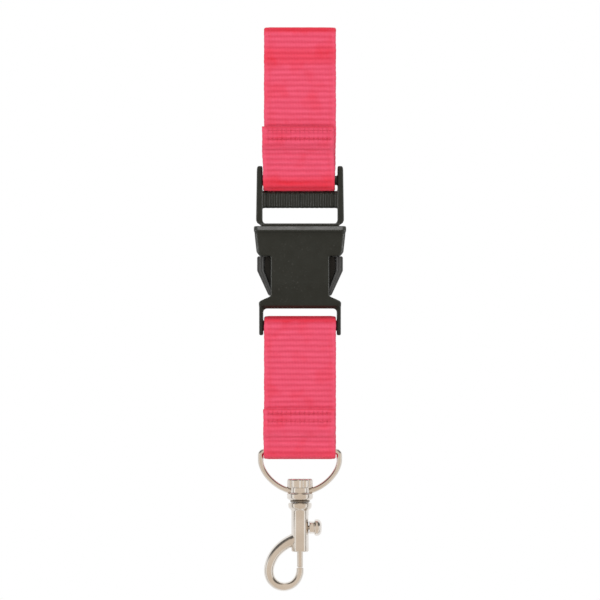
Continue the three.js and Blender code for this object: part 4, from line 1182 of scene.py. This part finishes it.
# %% World
world = bpy.data.worlds.new("white_studio")
bpy.context.scene.world = world
world.use_nodes = True
tree = world.node_tree
tree.nodes.clear()
direction = add(tree, "ShaderNodeTexCoord").outputs["Generated"]
parts = add(tree, "ShaderNodeSeparateXYZ", {0: direction}).outputs
towards = math(tree, "MULTIPLY", parts[1], -1.0)
turn = math(tree, "ARCTAN2", math(tree, "ABSOLUTE", parts[0]), towards)
turn = math(tree, "DIVIDE", turn, np.pi)
rise = math(tree, "ARCSINE", parts[2])
ramp = add(tree, "ShaderNodeValToRGB", {0: turn})
tan, pale, gap = (0.70, 0.60, 0.50), (0.97, 0.94, 0.90), (0.34, 0.31, 0.28)
stops = [
    (0.0, tan), (0.29, tan), (0.335, pale), (0.40, pale), (0.43, gap), (0.475, gap),
    (0.51, (0.88, 0.86, 0.84)), (1.0, (0.96, 0.95, 0.94)),
]
while len(ramp.color_ramp.elements) < len(stops):
    ramp.color_ramp.elements.new(0.5)
for element, (position, tint) in zip(ramp.color_ramp.elements, stops):
    element.position, element.color = position, (*tint, 1)
high_up = spread(tree, rise, np.radians(12), np.radians(26), 0.0, 0.90)
to_side = spread(tree, turn, 0.10, 0.20, 0.0, 1.0)
past_side = spread(tree, turn, 0.50, 0.60, 1.0, 0.0)
dark_share = math(tree, "MULTIPLY", to_side, past_side)
dark_share = math(tree, "MULTIPLY", high_up, dark_share)
room = mix(tree, dark_share, ramp.outputs[0], (0.055, 0.05, 0.045, 1))
around = add(tree, "ShaderNodeBackground", {"Color": room, "Strength": 1.0})
level = spread(tree, parts[1], -1.0, 1.0, 0.93, 0.30)
level = math(tree, "ADD", level, math(tree, "MULTIPLY", parts[2], 0.10))
even = add(tree, "ShaderNodeBackground", {"Color": (1, 1, 1, 1), "Strength": level})
white = add(tree, "ShaderNodeBackground", {"Color": (1, 1, 1, 1), "Strength": 1.0})
light_path = add(tree, "ShaderNodeLightPath").outputs
glossy = add(
    tree,
    "ShaderNodeMixShader",
    {0: light_path["Is Glossy Ray"], 1: even.outputs[0], 2: around.outputs[0]},
)
seen = add(
    tree,
    "ShaderNodeMixShader",
    {0: light_path["Is Camera Ray"], 1: glossy.outputs[0], 2: white.outputs[0]},
)
add(tree, "ShaderNodeOutputWorld", {"Surface": seen.outputs[0]})
bpy.context.scene.view_settings.view_transform = "Standard"

# %% Floor, lights and camera
FLOOR_Z = -0.20
FLOOR_RINGS, FLOOR_SPOKES = 25, 96


def studio_floor():
    """Rings of growing radius on a plane: (r cos a, r sin a), which fade out towards the rim."""
    angle = np.linspace(0, 2 * np.pi, FLOOR_SPOKES, endpoint=False)
    radius = np.linspace(0.0, 0.6, FLOOR_RINGS)[:, None]
    level = FLOOR_Z + 0 * radius * angle
    grid = np.stack([radius * np.cos(angle), radius * np.sin(angle), level], -1)
    mesh = bpy.data.meshes.new("studio_floor")
    quads = grid_quads(FLOOR_RINGS, FLOOR_SPOKES, False, True)
    mesh.from_pydata(grid.reshape(-1, 3).tolist(), [], quads.tolist())
    return mesh


paper, tree, shader = new_material("pale_paper", Roughness=0.85)
spot = own_place(tree)
fibre = use(tree, grain, {"Vector": spot, "Size": 420.0})
tone = mix(tree, fibre.outputs["Height"], (0.86, 0.86, 0.85, 1), (0.92, 0.92, 0.915, 1))
tree.links.new(tone, shader.inputs["Base Color"])
far = add(tree, "ShaderNodeVectorMath", {0: spot}, operation="LENGTH").outputs["Value"]
tree.links.new(spread(tree, far, 0.24, 0.50, 1.0, 0.0), shader.inputs["Alpha"])
floor = bpy.data.objects.new("studio_floor", studio_floor())
floor.data.materials.append(paper)
bpy.context.scene.collection.objects.link(floor)
floor.visible_glossy = False


MIDDLE = (0, 0, -0.0745)  # the lanyard's middle, which the camera and lights face


def soft_light(name, place_at, size, power, only=None, mirrored=True):
    """A panel of light that faces the lanyard's middle, kept off some pieces if asked."""
    panel = bpy.data.lights.new(name, "AREA")
    panel.shape, panel.energy = "RECTANGLE", power
    panel.size, panel.size_y = size
    made = bpy.data.objects.new(name, panel)
    made.location = place_at
    made.rotation_euler = (Vector(MIDDLE) - Vector(place_at)).to_track_quat("-Z", "Y").to_euler()
    made.visible_glossy = mirrored
    bpy.context.scene.collection.objects.link(made)
    if only:
        made.light_linking.receiver_collection = only


plastics = bpy.data.collections.new("moulded_pieces")
for name in ("buckle_frame", "buckle_housing", "left_latch_head", "right_latch_head"):
    plastics.objects.link(bpy.data.objects[name])
soft_light("front_fill", (-0.25, -0.9, 0.20), (0.5, 0.5), 2.0, mirrored=False)
soft_light("back_fill", (0.25, 0.8, 0.25), (0.5, 0.5), 3.2, mirrored=False)
soft_light("top_strip", (0.0, -0.17, 0.60), (0.5, 0.3), 4.0, plastics)
for name, x in (("left_strip", -0.5), ("right_strip", 0.5)):
    soft_light(name, (x, -0.09, -0.07), (0.12, 0.4), 1.6, plastics)

camera = bpy.data.cameras.new("camera")
camera.lens, camera.sensor_width = 259.2, 36.0
camera.clip_end = 10.0
viewer = bpy.data.objects.new("camera", camera)
viewer.location = (0, -1.2, MIDDLE[2])
viewer.rotation_euler = (np.pi / 2, 0, 0)
bpy.context.scene.collection.objects.link(viewer)
bpy.context.scene.camera = viewer
print("studio ready")
